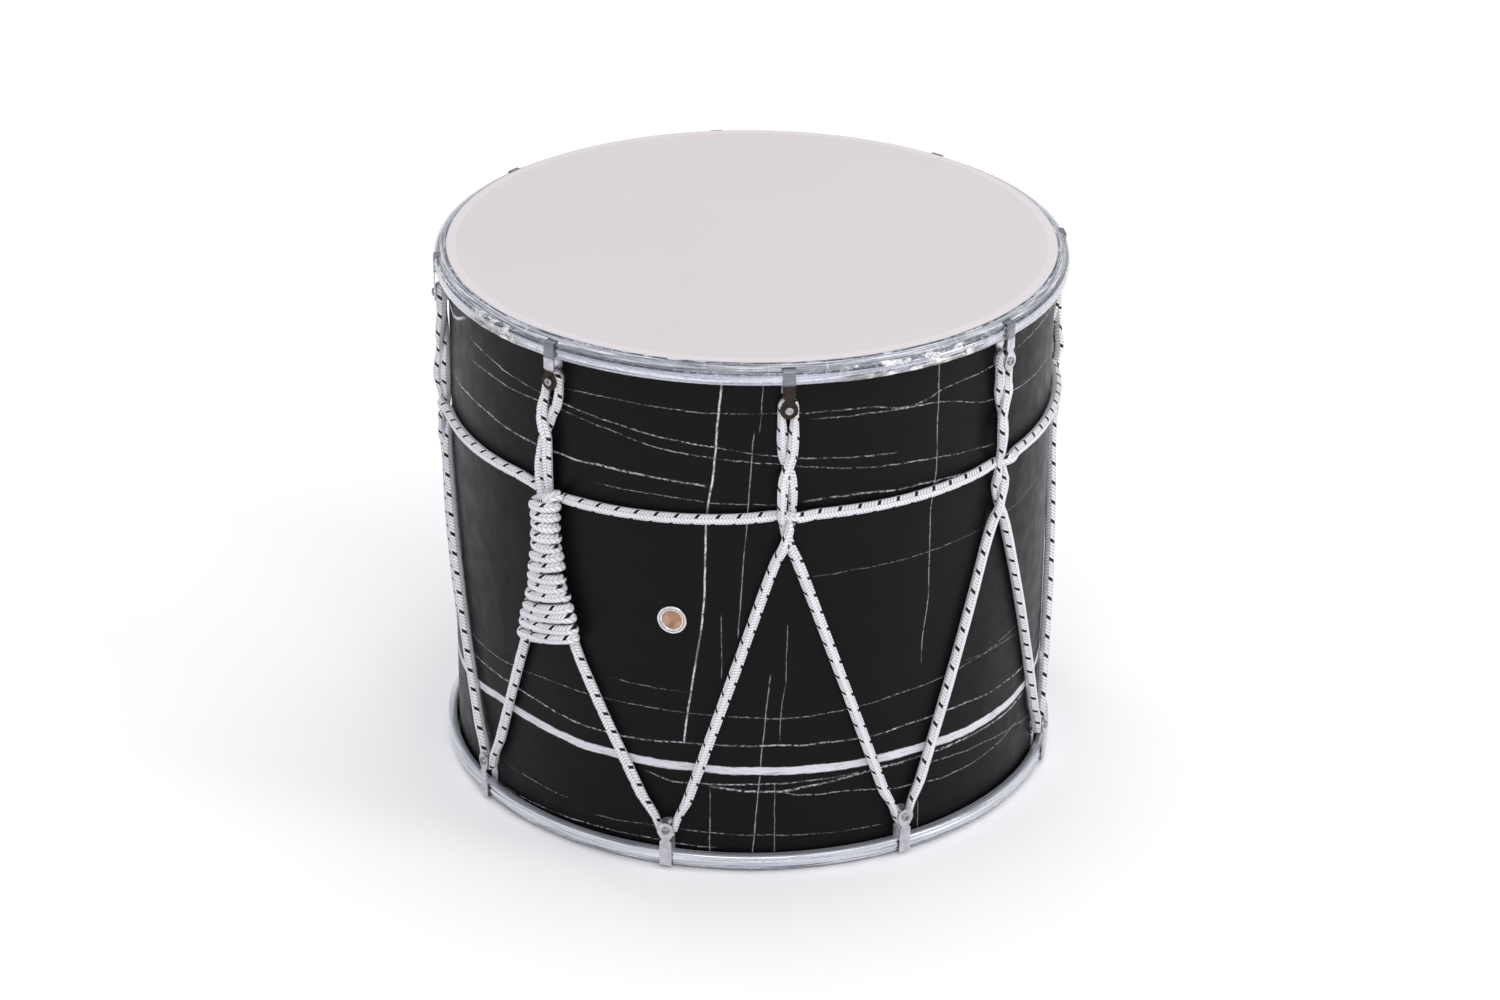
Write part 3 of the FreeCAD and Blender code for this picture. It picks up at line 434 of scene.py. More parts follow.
def make_galvanised_material():
    """Rolled zinc-grey strip: long fine lines, the lower hoop painted lighter, and on the upper hoop
    painted shade in the groove and crease and a painted highlight line on the bead.
    """
    made = Material("galvanised_steel", Metallic=1.0)
    azimuth, radius, height = made.round_place()
    around = azimuth * DEGREE_MM
    surface = vector_of(around, radius, height)
    lines = noise(vector_of(around * 0.02, radius * 1.1, height * 1.1), 1.0, 3.0, 0.6)
    spangle = noise(surface, 0.45, 3.0, 0.6)
    spots = noise(surface, 0.22, 4.0, 0.7)
    zinc = spangle.colours((0.32, (0.50, 0.52, 0.58)), (0.70, (0.62, 0.64, 0.70)))
    # Painted light: the lower hoop's zinc is made lighter than the upper hoop's.
    lower = height.ramp(30.0, 40.0, 0.55, 0.0)
    zinc = blend(lower, zinc, (0.84, 0.86, 0.90))
    worn = blend(lines.ramp(0.52, 0.66, 0.0, 0.8), zinc, (0.22, 0.23, 0.27))
    bright = blend(lines.ramp(0.34, 0.42, 0.8, 0.0), worn, (0.93, 0.94, 0.96))
    ragged = noise(vector_of(around * 0.35, radius, height), 0.55, 4.0, 0.7)
    # Painted shade: ragged dark marks in the upper groove, between the collar and the bead.
    groove = radius.ramp(179.4, 180.6, 1.0, 0.0) * height.ramp(290.0, 291.0)
    groove_shade = ragged.ramp(0.36, 0.52) * groove
    zinc_with_groove_shade = blend(groove_shade, bright, (0.030, 0.034, 0.045))
    # Painted shade: a broken dark line in the crease at the top of the upper bead; and a painted highlight
    # line lower down on the bead.
    crease_shade_line = height.band(310.3, 310.7, 311.4, 311.8) * ragged.ramp(0.36, 0.46, 0.35, 0.95)
    shine = height.band(306.4, 306.9, 308.0, 308.6) * ragged.ramp(0.45, 0.60, 0.9, 0.2)
    rolled = blend(shine, blend(crease_shade_line, zinc_with_groove_shade, (0.05, 0.06, 0.09)), (0.95, 0.96, 0.98))
    made.colour(blend(spots.ramp(0.70, 0.75), rolled, (0.12, 0.11, 0.11)))
    ledge = height.band(10.9, 11.15, 30.0, 31.0)
    made.roughness(spangle.ramp(0.3, 0.7, 0.17, 0.32) * (ledge * -1.0 + 1.0) + ledge * 0.62)
    made.bump((noise(surface, 0.05, 1.0), 0.0005), (lines, 0.00008))
    return made.material


def satin_metal(name, low, high, tarnish_depth):
    """Plated metal with fine tool marks, its roughness from low to high, and its tarnish's clouds."""
    made = Material(name, Metallic=1.0)
    place = made.place()
    clouds = noise(place, 260.0, 3.0)
    made.roughness(noise(place, 500.0, 2.0).ramp(0.3, 0.7, low, high))
    made.bump((noise(place, 2600.0, 2.0), 0.00003), (clouds, tarnish_depth))
    return made, clouds


def make_plated_material(name, light, dark, low, high):
    made, clouds = satin_metal(name, low, high, 0.00010)
    made.colour(blend(clouds.ramp(0.34, 0.68), light, dark))
    return made.material


# The straps that are stained dark brown: azimuth, and the heights between which they are.
STAINED_STRAPS = [
    (UPPER_HOOKS[0], 280.0, 306.0),
    (UPPER_HOOKS[WRAP_HOOK] - 360.0, 280.0, 298.0),
]


def make_strap_material():
    """Plated strap, stained brown on some hooks."""
    made, clouds = satin_metal("plated_strap", 0.26, 0.42, 0.00012)
    azimuth, radius, height = made.round_place()
    plate = clouds.colours((0.32, (0.66, 0.645, 0.69)), (0.68, (0.47, 0.455, 0.49)))
    stain = azimuth * 0.0
    for middle, low, high in STAINED_STRAPS:
        near = (azimuth - middle).math("ABSOLUTE").ramp(3.0, 4.0, 1.0, 0.0)
        stain = stain.math("MAXIMUM", near * height.band(low, low + 1.0, high - 1.5, high))
    stain = stain * radius.ramp(181.0, 181.5)
    brown = clouds.colours((0.32, (0.050, 0.038, 0.030)), (0.68, (0.030, 0.024, 0.022)))
    # The strap is a darker grey from here up, where it runs under the film.
    under_film = height.ramp(303.6, 304.6)
    darker_under_film = blend(under_film, plate, (0.22, 0.23, 0.25))
    made.colour(blend(stain, darker_under_film, brown))
    return made.material


PLY_PAIR = 1.35  # thickness of a light ply and a dark one, mm


def make_wood_material():
    """Bare tan plywood; its inside glows with painted light, standing in for the daylight that comes in
    through the thin heads.
    """
    made = Material("bare_wood", Roughness=0.72, Specular_IOR_Level=0.3)
    azimuth, radius, height = made.round_place()
    around = azimuth * DEGREE_MM
    grain = noise(vector_of(around, radius * 4.0, height * 0.06), 0.9, 4.0, 0.65)
    plies = (radius * (2.0 * math.pi / PLY_PAIR)).math("SINE").ramp(-1.0, 1.0)
    wood = grain.colours((0.30, (0.42, 0.29, 0.18)), (0.52, (0.55, 0.40, 0.26)),
                         (0.72, (0.65, 0.49, 0.33)))
    made.colour(blend(plies.ramp(0.55, 1.0, 0.0, 0.35), wood, (0.40, 0.23, 0.11)))
    made.bump((grain, 0.00015))
    # Painted light: the inner wall glows tan, though it is no lamp.
    lit = grain.colours((0.3, (0.40, 0.300, 0.215)), (0.7, (0.49, 0.38, 0.28)))
    made.feed("Emission Color", lit)
    inside = radius.ramp(169.8, 170.2, 1.0, 0.0)
    made.feed("Emission Strength", inside * 0.95)
    return made.material


def make_rope_material():
    """Twelve-yarn two-over-two braid, white, with one black yarn."""
    made = Material("braided_rope", Roughness=0.75, Specular_IOR_Level=0.25)
    length, angle = made.uv("braid")
    yarns = 6.0
    forward = (length - angle) * yarns
    backward = (length + angle) * yarns
    column = angle * yarns + 0.5
    odd = column.math("FLOOR").math("FLOORED_MODULO", 2.0)
    stitch = (backward * (odd * -1.0 + 1.0) + forward * odd).math("FRACT")
    across = (stitch * math.pi).math("SINE")
    bulge = (column.math("FRACT") * math.pi).math("SINE")
    relief = across.math("POWER", 0.8) * bulge.math("POWER", 0.5)
    place = made.place()
    fibres = noise(place, 2400.0, 3.0, 0.6)
    soil = noise(place, 55.0, 3.0)
    fluff = noise(place, 900.0, 2.0)
    yarn = forward.math("FLOOR").math("FLOORED_MODULO", yarns)
    is_black = yarn.math("COMPARE", 0.0, 0.1) * odd * bulge.ramp(0.0, 0.12)
    white = soil.colours((0.30, (0.80, 0.79, 0.83)), (0.55, (0.87, 0.86, 0.89)),
                         (0.75, (0.90, 0.895, 0.91)))
    shaded = blend(relief.ramp(0.05, 0.60, 0.85, 0.0), white, (0.40, 0.385, 0.43))
    grained = blend(fibres.ramp(0.42, 0.62, 0.0, 0.18), shaded, (0.55, 0.54, 0.58))
    made.colour(blend(is_black, grained, (0.010, 0.010, 0.012)))
    made.bump((relief, 0.00050), (fibres, 0.00008), (fluff, 0.00012))
    return made.material


# Where the film on the upper hoop is crumpled: from and to azimuth.
CRUMPLED = [(-66.0, -50.0), (8.0, 40.0)]


def make_film_material():
    """Thin clear film, with milky patches where it is crumpled, and a painted brown reflection along their
    lower edge.
    """
    made = Material("clear_film", Roughness=0.07, IOR=1.46)
    made.shader.inputs["Transmission Weight"].default_value = 1.0
    azimuth, radius, height = made.round_place()
    place = made.place()
    creases = noise(place, 220.0, 2.0, 0.6)
    crumpled = azimuth * 0.0
    for first, last in CRUMPLED:
        crumpled = crumpled.math("MAXIMUM", azimuth.band(first, first + 3, last - 3, last))
    facets = noise(vector_of(azimuth * 0.9, height * 0.5, radius * 0.5), 0.30, 4.0, 0.65)
    milky = facets.ramp(0.50, 0.60, 0.0, 0.75) * crumpled
    # Painted reflection: brown patches along the lower edge of the crumpled film.
    brown = facets.ramp(0.44, 0.54, 0.9, 0.0) * crumpled * height.ramp(305.6, 307.0, 1.0, 0.0)
    made.colour(blend(brown, blend(milky, (0.97, 0.97, 0.99), (0.93, 0.93, 0.90)), (0.10, 0.06, 0.04)))
    clear = milky.math("MAXIMUM", brown) * -1.0 + 1.0
    made.feed("Transmission Weight", clear)
    made.bump((creases * crumpled, 0.0002), (facets * crumpled, 0.0006))
    return made.material


LOOKS = {
    "laminate": make_laminate_material(),
    "head_film": make_head_material(),
    "galvanised_steel": make_galvanised_material(),
    "plated_steel": make_strap_material(),
    "nickel": make_plated_material("nickel", (0.86, 0.85, 0.84), (0.70, 0.69, 0.69), 0.10, 0.20),
    "roller_steel": make_plated_material("turned_steel", (0.70, 0.70, 0.72), (0.52, 0.52, 0.55),
                                         0.22, 0.36),
    "shell_wood": make_wood_material(),
    "rope": make_rope_material(),
    "clear_film": make_film_material(),
}


VENT_AZIMUTH = -21.1
VENT_HEIGHT = 157.0


def make_eyelet_material():
    """Plated eyelet, with painted shade in the rolled ring's groove and round its edge."""
    made = Material("plated_eyelet", Metallic=1.0)
    azimuth, radius, height = made.round_place()
    around = (azimuth - VENT_AZIMUTH) * DEGREE_MM
    above = height - VENT_HEIGHT
    from_middle = (around * around + above * above).math("SQRT")
    clouds = noise(made.place(), 330.0, 3.0)
    uneven = from_middle + (clouds - 0.5) * 0.9
    plate = clouds.colours((0.35, (0.78, 0.76, 0.77)), (0.65, (0.60, 0.58, 0.60)))
    # Painted shade: dark rings in the rolled ring's groove and round its edge.
    groove = uneven.band(6.5, 6.8, 7.0, 7.3)
    edge = uneven.ramp(8.0, 8.5)
    made.colour(blend(groove.math("MAXIMUM", edge), plate, (0.16, 0.15, 0.16)))
    made.roughness(clouds.ramp(0.3, 0.7, 0.16, 0.30))
    made.bump((clouds, 0.0002))
    return made.material


SCREW_STEEL = make_plated_material("screw_steel", (0.46, 0.455, 0.46), (0.22, 0.215, 0.22),
                                   0.14, 0.26)
EYELET_STEEL = make_eyelet_material()


def dress_cad_nodes():
    """Give every carried-over node its slot's material."""
    slots = {part["node"]: part["material_slot"] for part in frame["record"]["subparts"]}
    for name, node in frame["nodes"].items():
        look = SCREW_STEEL if name.endswith("screws") else LOOKS[slots[name]]
        look = EYELET_STEEL if name == "vent_eyelet" else look
        node.data.materials.clear()
        node.data.materials.append(look)


dress_cad_nodes()


# ---------------------- ropes

# Places on a rope's route: across from a hook, out from the shell, and height.
# The strands of a pair twist round each other at two crossings, and between the
# crossings they spread to let the waist rope through.
# CROSSINGS has the heights of each upper hook's two.
CROSSINGS = [
    (213.0, 255.0), (207.0, 264.0), (212.0, 257.0), (213.0, 260.0),
    (211.0, 255.0), (212.0, 262.0), (208.0, 258.0), (206.0, 261.0),
]
CROSSING = [(2.5, 6.7, -8.0), (1.0, 8.9, -3.0), (-1.0, 8.9, 3.0), (-2.5, 6.7, 8.0)]
UNDERNEATH = 3.2  # out from the shell, for the strand that goes behind
SPREAD = (4.6, 8.3)
NEAR_HOOK = (3.3, 4.3, 277.5)
UPPER_TURN = [(-5.6, 4.3, 292.1), (-2.45, 4.3, 295.8), (2.45, 4.3, 295.8), (5.6, 4.3, 292.1)]
LOWER_TURN = [(-4.25, 4.3, 21.55), (0.0, 4.3, 19.7), (4.25, 4.3, 21.55)]
LEG_TOP = (6.0, 3.5, -15.0)  # below the lower crossing
LEG_SHARES = (0.28, 0.55, 0.81)
LEG_BOTTOM = (4.0, 37.0)  # out and height where a leg comes to the lower hook
TURN_RADIUS = 5.3  # from a lower roller's middle to the middle of the rope round it
LEG_PAST = 9.5  # a leg aims for the roller's side this far below LEG_BOTTOM
WOUND_LEAN = -8.5  # the pair with the winding leans to the left, at most this
WOUND_MIDDLE = -5.6  # its middle at its upper crossing, across
WOUND_SLOPE = 0.09  # and its slope above the winding
WOUND_SPREAD = (3.4, 5.0, 233.0)  # its strands above the winding: half their spacing, out and up
WOUND_LEFT = [(-10.8, 3.5, 188.0), (-12.6, 3.5, 160.0), (-21.8, 3.5, 133.0)]
WOUND_RIGHT = [(-3.0, 3.5, 188.0), (1.0, 3.5, 160.0), (9.3, 3.5, 133.0)]
LACING_START = (-0.5, 3.5, 168.0)
WAIST_HEIGHTS = [225.2, 228.2, 231.0, 229.5, 228.0, 226.0, 223.5, 219.0]
WAIST_LAST_HEIGHT = 224.3  # where it comes back to the winding
WAIST_JUNCTION = [(-8.0, 3.2), (-1.5, 3.8), (3.0, 8.1), (6.6, 8.1), (14.0, 3.7)]
WAIST_ENDS = (3.5, 3.5)
WAIST_SHARES = (0.19, 0.31, 0.44, 0.57, 0.70, 0.83)
WAIST_SAG = 1.0


def beside(azimuth, across, out, height):
    """Point `across` to the right of an azimuth and `out` from the shell, measured round it."""
    radius = SHELL_MM + out
    angle = math.radians(azimuth) + across / radius
    return Vector((radius * math.sin(angle), -radius * math.cos(angle), height)) * MM


def lean(hook, height):
    """How far a pair's middle is from its hook's middle; only the pair with the winding leans."""
    if hook != WRAP_HOOK:
        return 0.0
    return max(WOUND_LEAN, WOUND_MIDDLE + WOUND_SLOPE * (height - CROSSINGS[hook][1]))


def strand(hook, rising):
    """A pair's strand from below its lower crossing up to the hook.

    The rising strand passes in front at the lower crossing and behind at the upper one.
    The falling strand does the opposite.  Above the winding, the rising strand is always in front.
    """
    azimuth = UPPER_HOOKS[hook]
    points = []
    for is_low, crossing in zip((True, False), CROSSINGS[hook]):
        side = -1 if rising == is_low else 1
        in_front = rising if hook == WRAP_HOOK else rising == is_low
        for across, out, rise in CROSSING:
            level = out if in_front else UNDERNEATH
            height = crossing + rise
            points.append(beside(azimuth, side * across + lean(hook, height), level, height))
        across, out = SPREAD
        if is_low and hook == WRAP_HOOK:
            across, out, height = WOUND_SPREAD
            points.append(beside(azimuth, lean(hook, height) - side * across, out, height))
        elif is_low:
            level = UNDERNEATH if in_front else out
            points.append(beside(azimuth, -side * across, level, WAIST_HEIGHTS[hook]))
    across, out, height = NEAR_HOOK
    return points + [beside(azimuth, lean(hook, height) - across if rising else across, out, height)]


def leg(hook, side):
    """One leg of a V, from under a pair down to the lower hook on its right (1) or left (-1)."""
    azimuth = UPPER_HOOKS[hook]
    lower = LOWER_HOOKS[hook] if side > 0 else LOWER_HOOKS[hook - 1]
    if hook == WRAP_HOOK:
        places = list(WOUND_RIGHT if side > 0 else WOUND_LEFT)
    else:
        across, out, below = LEG_TOP
        places = [(side * across, out, CROSSINGS[hook][0] + below)]
    across, out, height = places[-1]
    span = math.radians(signed(lower - azimuth)) * (SHELL_MM + out)
    end_out, end_height = LEG_BOTTOM
    slope = math.atan2(side * (span - across) - TURN_RADIUS, height - end_height + LEG_PAST)
    reach = TURN_RADIUS / math.cos(slope) + (end_height - LOWER_EYE) * math.tan(slope)
    end_across = span - side * reach
    for share in LEG_SHARES:
        level = height + (end_height - height) * share
        places.append((across + (end_across - across) * share, out, level))
    points = [beside(azimuth, *place) for place in places]
    return points + [beside(lower, -side * reach, end_out, end_height)]


def lacing_points():
    """The lacing from one end, hidden in the winding, right round the drum and back into it."""
    route = [beside(UPPER_HOOKS[WRAP_HOOK], *LACING_START)]
    route += leg(WRAP_HOOK, 1)[2:]
    for number in range(HOOK_COUNT):
        route += [beside(LOWER_HOOKS[number - 1], *place) for place in LOWER_TURN]
        route += reversed(leg(number, -1))
        route += strand(number, True)
        route += [beside(UPPER_HOOKS[number], *place) for place in UPPER_TURN]
        route += reversed(strand(number, False))
        right_leg = leg(number, 1)
        route += right_leg[:1] if number == WRAP_HOOK else right_leg
    return route


def waist_points():
    """Round the drum from the winding back to it, behind each left strand and over each right one."""
    start = UPPER_HOOKS[WRAP_HOOK] - 360.0
    across, out = WAIST_ENDS
    points = [beside(start, across, out, WAIST_HEIGHTS[WRAP_HOOK])]
    for number in range(HOOK_COUNT):
        azimuth = UPPER_HOOKS[number - 1] if number > 0 else start
        pitch = UPPER_HOOKS[number] - azimuth
        height = WAIST_HEIGHTS[number - 1]
        following = WAIST_LAST_HEIGHT if number == WRAP_HOOK else WAIST_HEIGHTS[number]
        if number > 0:
            points += [beside(azimuth, *place, height) for place in WAIST_JUNCTION]
        for share in WAIST_SHARES:
            level = height + (following - height) * share - WAIST_SAG * math.sin(math.pi * share)
            points.append(beside(azimuth + pitch * share, 0.0, out, level))
    points.append(beside(start, -across, out, WAIST_HEIGHTS[WRAP_HOOK]))
    return points


def smooth_line(points):
    """Points close together along the NURBS spline that has these control points."""
    data = bpy.data.curves.new("route", "CURVE")
    data.dimensions = "3D"
    spline = data.splines.new("NURBS")
    spline.points.add(len(points) - 1)
    for target, point in zip(spline.points, points):
        target.co = (*point, 1.0)
    spline.order_u = 3
    spline.use_endpoint_u = True
    spline.resolution_u = 10
    holder = bpy.data.objects.new("route", data)
    mesh = bpy.data.meshes.new_from_object(holder)
    line = np.array([vertex.co[:] for vertex in mesh.vertices])
    bpy.data.objects.remove(holder)
    bpy.data.curves.remove(data)
    bpy.data.meshes.remove(mesh)
    return line


def distances(line):
    """Each point's distance along the line."""
    return np.concatenate([[0.0], np.cumsum(np.linalg.norm(np.diff(line, axis=0), axis=1))])


def spaced(line, step):
    """The same line with points one step apart, and each point's distance along it."""
    lengths = distances(line)
    count = max(2, int(round(lengths[-1] / step)))
    wanted = np.linspace(0.0, lengths[-1], count + 1)
    return np.stack([np.interp(wanted, lengths, line[:, axis]) for axis in range(3)], axis=1), wanted


def unit(vectors):
    return vectors / np.linalg.norm(vectors, axis=1, keepdims=True)


def outward_from_axis(line):
    """Directions straight out from the drum's axis."""
    flat = line.copy()
    flat[:, 2] = 0.0
    return unit(flat)


def nearest_hook(points, hooks):
    """Number of each point's nearest hook, and how far the point is across from it, mm."""
    radius = np.hypot(points[:, 0], points[:, 1]) / MM
    azimuth = np.degrees(np.arctan2(points[:, 0], -points[:, 1]))
    away = signed(azimuth[:, None] - np.array(hooks)[None, :])
    number = np.argmin(np.abs(away), axis=1)
    return number, np.radians(away[np.arange(len(points)), number]) * radius, radius


def moved(points, hooks, number, across, radius, height):
    """The points put back at new places beside their hooks."""
    angle = np.radians(np.array(hooks)[number]) + across / radius
    return np.stack([radius * np.sin(angle), -radius * np.cos(angle), height], axis=1) * MM


PIN = 2.1  # a roller's radius, and a little
TURN_SQUEEZE = 0.64  # rope's thickness where it goes round a roller
LOOSE_AFTER = 19.0  # mm past a roller to where it's round again
TURN_REACH = 18.0  # mm across from a hook that its rope reaches


def pinch(points, hooks, eye, up):
    """Rope pulled tight round the rollers of one end; up is 1 where it goes over them."""
    number, across, radius = nearest_hook(points, hooks)
    height = points[:, 2] / MM
    beyond = (height - eye) * up
    reach = np.hypot(across, np.maximum(beyond, 0.0))
    tight = np.where(reach > PIN, (PIN + (reach - PIN) * TURN_SQUEEZE) / np.maximum(reach, PIN), 1.0)
    fade = np.clip(-beyond / LOOSE_AFTER, 0.0, 1.0)
    fade = fade * fade * (3.0 - 2.0 * fade)
    pin = PIN * (1.0 - fade)
    squeeze = TURN_SQUEEZE + (1.0 - TURN_SQUEEZE) * fade
    squeezed = np.sign(across) * (pin + (np.abs(across) - pin) * squeeze)
    side = np.where(np.abs(across) > pin, squeezed, across)
    near = (np.abs(across) < TURN_REACH) & (beyond > -LOOSE_AFTER)
    new_across = np.where(near, np.where(beyond > 0, across * tight, side), across)
    new_height = np.where(near & (beyond > 0), eye + up * beyond * tight, height)
    return moved(points, hooks, number, new_across, radius, new_height)


CROSSING_SQUEEZE = 0.33  # of the ropes' way out from the shell, where they cross
CROSSING_RISE = 10.0  # how far the squeeze reaches up and across, mm
CROSSING_WIDE = 9.0


def lie_flat(points):
    """Strands that cross are squeezed towards the shell."""
    number, across, radius = nearest_hook(points, UPPER_HOOKS)
    height = points[:, 2] / MM
    low, high = np.array(CROSSINGS)[number].T
    waist = np.array(WAIST_HEIGHTS)[number]
    squeeze = np.zeros(len(points))
    for level in (low, waist, high):
        near = np.exp(-((height - level) / CROSSING_RISE) ** 2 - (across / CROSSING_WIDE) ** 2)
        squeeze = np.maximum(squeeze, near)
    out = (radius - SHELL_MM) * (1.0 - CROSSING_SQUEEZE * squeeze)
    return moved(points, UPPER_HOOKS, number, across, SHELL_MM + out, height)


WAIST_SQUEEZE = 0.32  # of a pair's width, where the waist rope goes through it
WAIST_RISE = 12.0  # how far that reaches up and across, mm
WAIST_WIDE = 11.0


def settle_lacing(points):
    """The lacing drawn in at the waist rope, round its rollers and where it crosses itself."""
    number, across, radius = nearest_hook(points, UPPER_HOOKS)
    height = points[:, 2] / MM
    waist = np.array(WAIST_HEIGHTS)[number]
    near = np.exp(-((height - waist) / WAIST_RISE) ** 2 - (across / WAIST_WIDE) ** 4)
    narrow = 1.0 - WAIST_SQUEEZE * near
    points = moved(points, UPPER_HOOKS, number, across * narrow, radius, height)
    points = pinch(points, UPPER_HOOKS, UPPER_EYE, 1)
    points = pinch(points, LOWER_HOOKS, LOWER_EYE, -1)
    return lie_flat(points)


ROPE_SIDES = 24
ROPE_STEP = 0.75 * MM
LUMPS_PER_LEAD = 8.0  # low bumps of the braid


def rope_piece(name, line, outward, settle=None, start_length=0.0):
    """A braided rope along a line; outward gives the way its braid's front faces."""
    places, lengths = spaced(line, ROPE_STEP)
    along = unit(np.gradient(places, axis=0))
    facing = outward(places)
    facing = unit(facing - along * np.sum(facing * along, axis=1, keepdims=True))
    side = np.cross(facing, along)
    turns = np.arange(ROPE_SIDES) / ROPE_SIDES
    angle = turns * 2 * math.pi
    full = lengths / BRAID_LEAD
    forward = (full[:, None] - turns) * LUMPS_PER_LEAD
    lump = 0.035 * np.sin(2 * math.pi * forward)
    swell = 0.02 * np.sin(lengths / 0.021 + 1.3) + 0.015 * np.sin(lengths / 0.0083)
    radius = ROPE_RADIUS * (1.0 + lump + swell[:, None])
    away = (np.cos(angle)[None, :, None] * facing[:, None, :]
            + np.sin(angle)[None, :, None] * side[:, None, :])
    vertices = places[:, None, :] + radius[..., None] * away
    rings = len(places)
    vertices = vertices.reshape(-1, 3)
    vertices = np.concatenate([vertices, places[:1], places[-1:]])
    if settle is not None:
        vertices = settle(vertices)
    ring, corner = np.meshgrid(np.arange(rings - 1), np.arange(ROPE_SIDES), indexing="ij")
    following = (corner + 1) % ROPE_SIDES
    quads = np.stack([ring * ROPE_SIDES + corner, ring * ROPE_SIDES + following,
                      (ring + 1) * ROPE_SIDES + following,
                      (ring + 1) * ROPE_SIDES + corner], axis=-1).reshape(-1, 4)
    first_cap = [(rings * ROPE_SIDES, (k + 1) % ROPE_SIDES, k) for k in range(ROPE_SIDES)]
    base = (rings - 1) * ROPE_SIDES
    last_cap = [(rings * ROPE_SIDES + 1, base + k, base + (k + 1) % ROPE_SIDES)
                for k in range(ROPE_SIDES)]
    mesh = bpy.data.meshes.new(name)
    mesh.from_pydata(vertices.tolist(), [], quads.tolist() + first_cap + last_cap)
    uv = mesh.uv_layers.new(name="braid")
    u = full + start_length / BRAID_LEAD
    quad_u = np.stack([u[ring], u[ring], u[ring + 1], u[ring + 1]], axis=-1).reshape(-1)
    quad_v = np.stack([corner, corner + 1, corner + 1, corner], axis=-1).reshape(-1) / ROPE_SIDES
    flat = np.zeros(len(mesh.loops) * 2, np.float32)  # the caps' corners stay at 0
    flat[0:len(quad_u) * 2:2] = quad_u
    flat[1:len(quad_u) * 2:2] = quad_v
    uv.data.foreach_set("uv", flat)
    mesh.shade_smooth()
    mesh.materials.append(LOOKS["rope"])
    mesh.update()
    piece = add_object(name, mesh)
    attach(piece, "drum")
    return piece


def make_lacing():
    """The lacing in pieces of about even length, end to end."""
    line = smooth_line(lacing_points())
    lengths = distances(line)
    cuts = np.linspace(0, len(line) - 1, HOOK_COUNT + 1).astype(int)
    for number, (first, last) in enumerate(zip(cuts, cuts[1:]), start=1):
        piece = rope_piece("lacing_%d" % number, line[first:last + 1], outward_from_axis,
                           settle_lacing, lengths[first])
        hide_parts("lacing_rope")


def make_waist():
    line = smooth_line(waist_points())
    piece = rope_piece("waist_braid", line, outward_from_axis, lie_flat)
    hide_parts("waist_rope")


# Height up the winding (0 to 1) and half its width in mm, outside its turns.
WINDING_WIDTHS = [(0.0, 22.6), (0.04, 23.6), (0.10, 22.6), (0.22, 18.8), (0.36, 15.0),
                  (0.50, 12.6), (0.62, 10.8), (0.76, 10.0), (0.90, 11.0), (0.97, 12.6), (1.0, 13.0)]
WINDING_TILT = 0.28  # its turns climb to the right by this much of their width
WINDING_BOTTOM = 129.5  # middles of its lowest and highest turns, mm
WINDING_TOP = 221.0
WINDING_TURNS = 14.5  # it ends behind itself
WINDING_OUT = 7.9  # its middle, out from the shell
WINDING_DEPTH = 4.7  # and how far its turns go out and in from there
STEPS_PER_TURN = 14
TUCK = (4.5, 5.0, 0.07)  # its upper end: how far in and down, and over what share of a turn


def winding_points():
    """Down round the pair from the top, each turn a little out of true."""
    shares = [share for share, _ in WINDING_WIDTHS]
    widths = [width for _, width in WINDING_WIDTHS]
    count = int(WINDING_TURNS * STEPS_PER_TURN)
    turns = range(int(WINDING_TURNS) + 3)
    tilts = RANDOM.normal(0.0, 1.2, len(turns))
    loose = RANDOM.normal(0.0, 0.7, len(turns))
    lift = RANDOM.normal(0.0, 0.5, len(turns))
    inwards, down, over = TUCK
    points = []
    for index in range(count + 1):
        turn = index / STEPS_PER_TURN
        angle = turn * 2 * math.pi
        share = 1.0 - index / count
        half = np.interp(share, shares, widths) - ROPE_RADIUS / MM + np.interp(turn, turns, loose)
        across = half * math.sin(angle)
        tucked = math.exp(-(turn / over) ** 2)
        out = WINDING_OUT + WINDING_DEPTH * math.cos(angle) - inwards * tucked
        height = WINDING_BOTTOM + (WINDING_TOP - WINDING_BOTTOM) * share - down * tucked
        height += (WINDING_TILT + np.interp(turn, turns, tilts) / half) * across
        height += np.interp(turn, turns, lift)
        points.append(beside(WRAP_AZIMUTH, across, out, height))
    return points


def make_winding():
    """The surplus rope, wound down round its pair of strands."""
    axis = np.array(beside(WRAP_AZIMUTH, 0.0, WINDING_OUT, 0.0))

    def outward(places):
        away = places - axis
        away[:, 2] = 0.0
        return unit(away)

    piece = rope_piece("wound_tail", smooth_line(winding_points()), outward)
    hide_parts("rope_tail_wrap")


make_lacing()
make_waist()
make_winding()


# ---------------------- hoops and the film on the upper one

def add_piece(name, vertices, faces, slot, *nodes):
    """A smooth mesh that rides with the drum and stands for those nodes; faces all point outwards."""
    mesh = bpy.data.meshes.new(name)
    mesh.from_pydata(vertices, [], faces)
    work = bmesh.new()
    work.from_mesh(mesh)
    bmesh.ops.recalc_face_normals(work, faces=work.faces)
    work.to_mesh(mesh)
    work.free()
    mesh.shade_smooth()
    mesh.materials.append(LOOKS[slot])
    piece = add_object(name, mesh)
    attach(piece, "drum")
    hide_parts(*nodes)
    return piece


def ring_faces(segments, count, strips):
    """Faces between sections of `count` points that are set round the drum."""
    faces = []
    for index in range(segments):
        following = (index + 1) % segments
        for step in range(strips):
            after = (step + 1) % count
            faces.append((index * count + step, following * count + step,
                          following * count + after, index * count + after))
    return faces


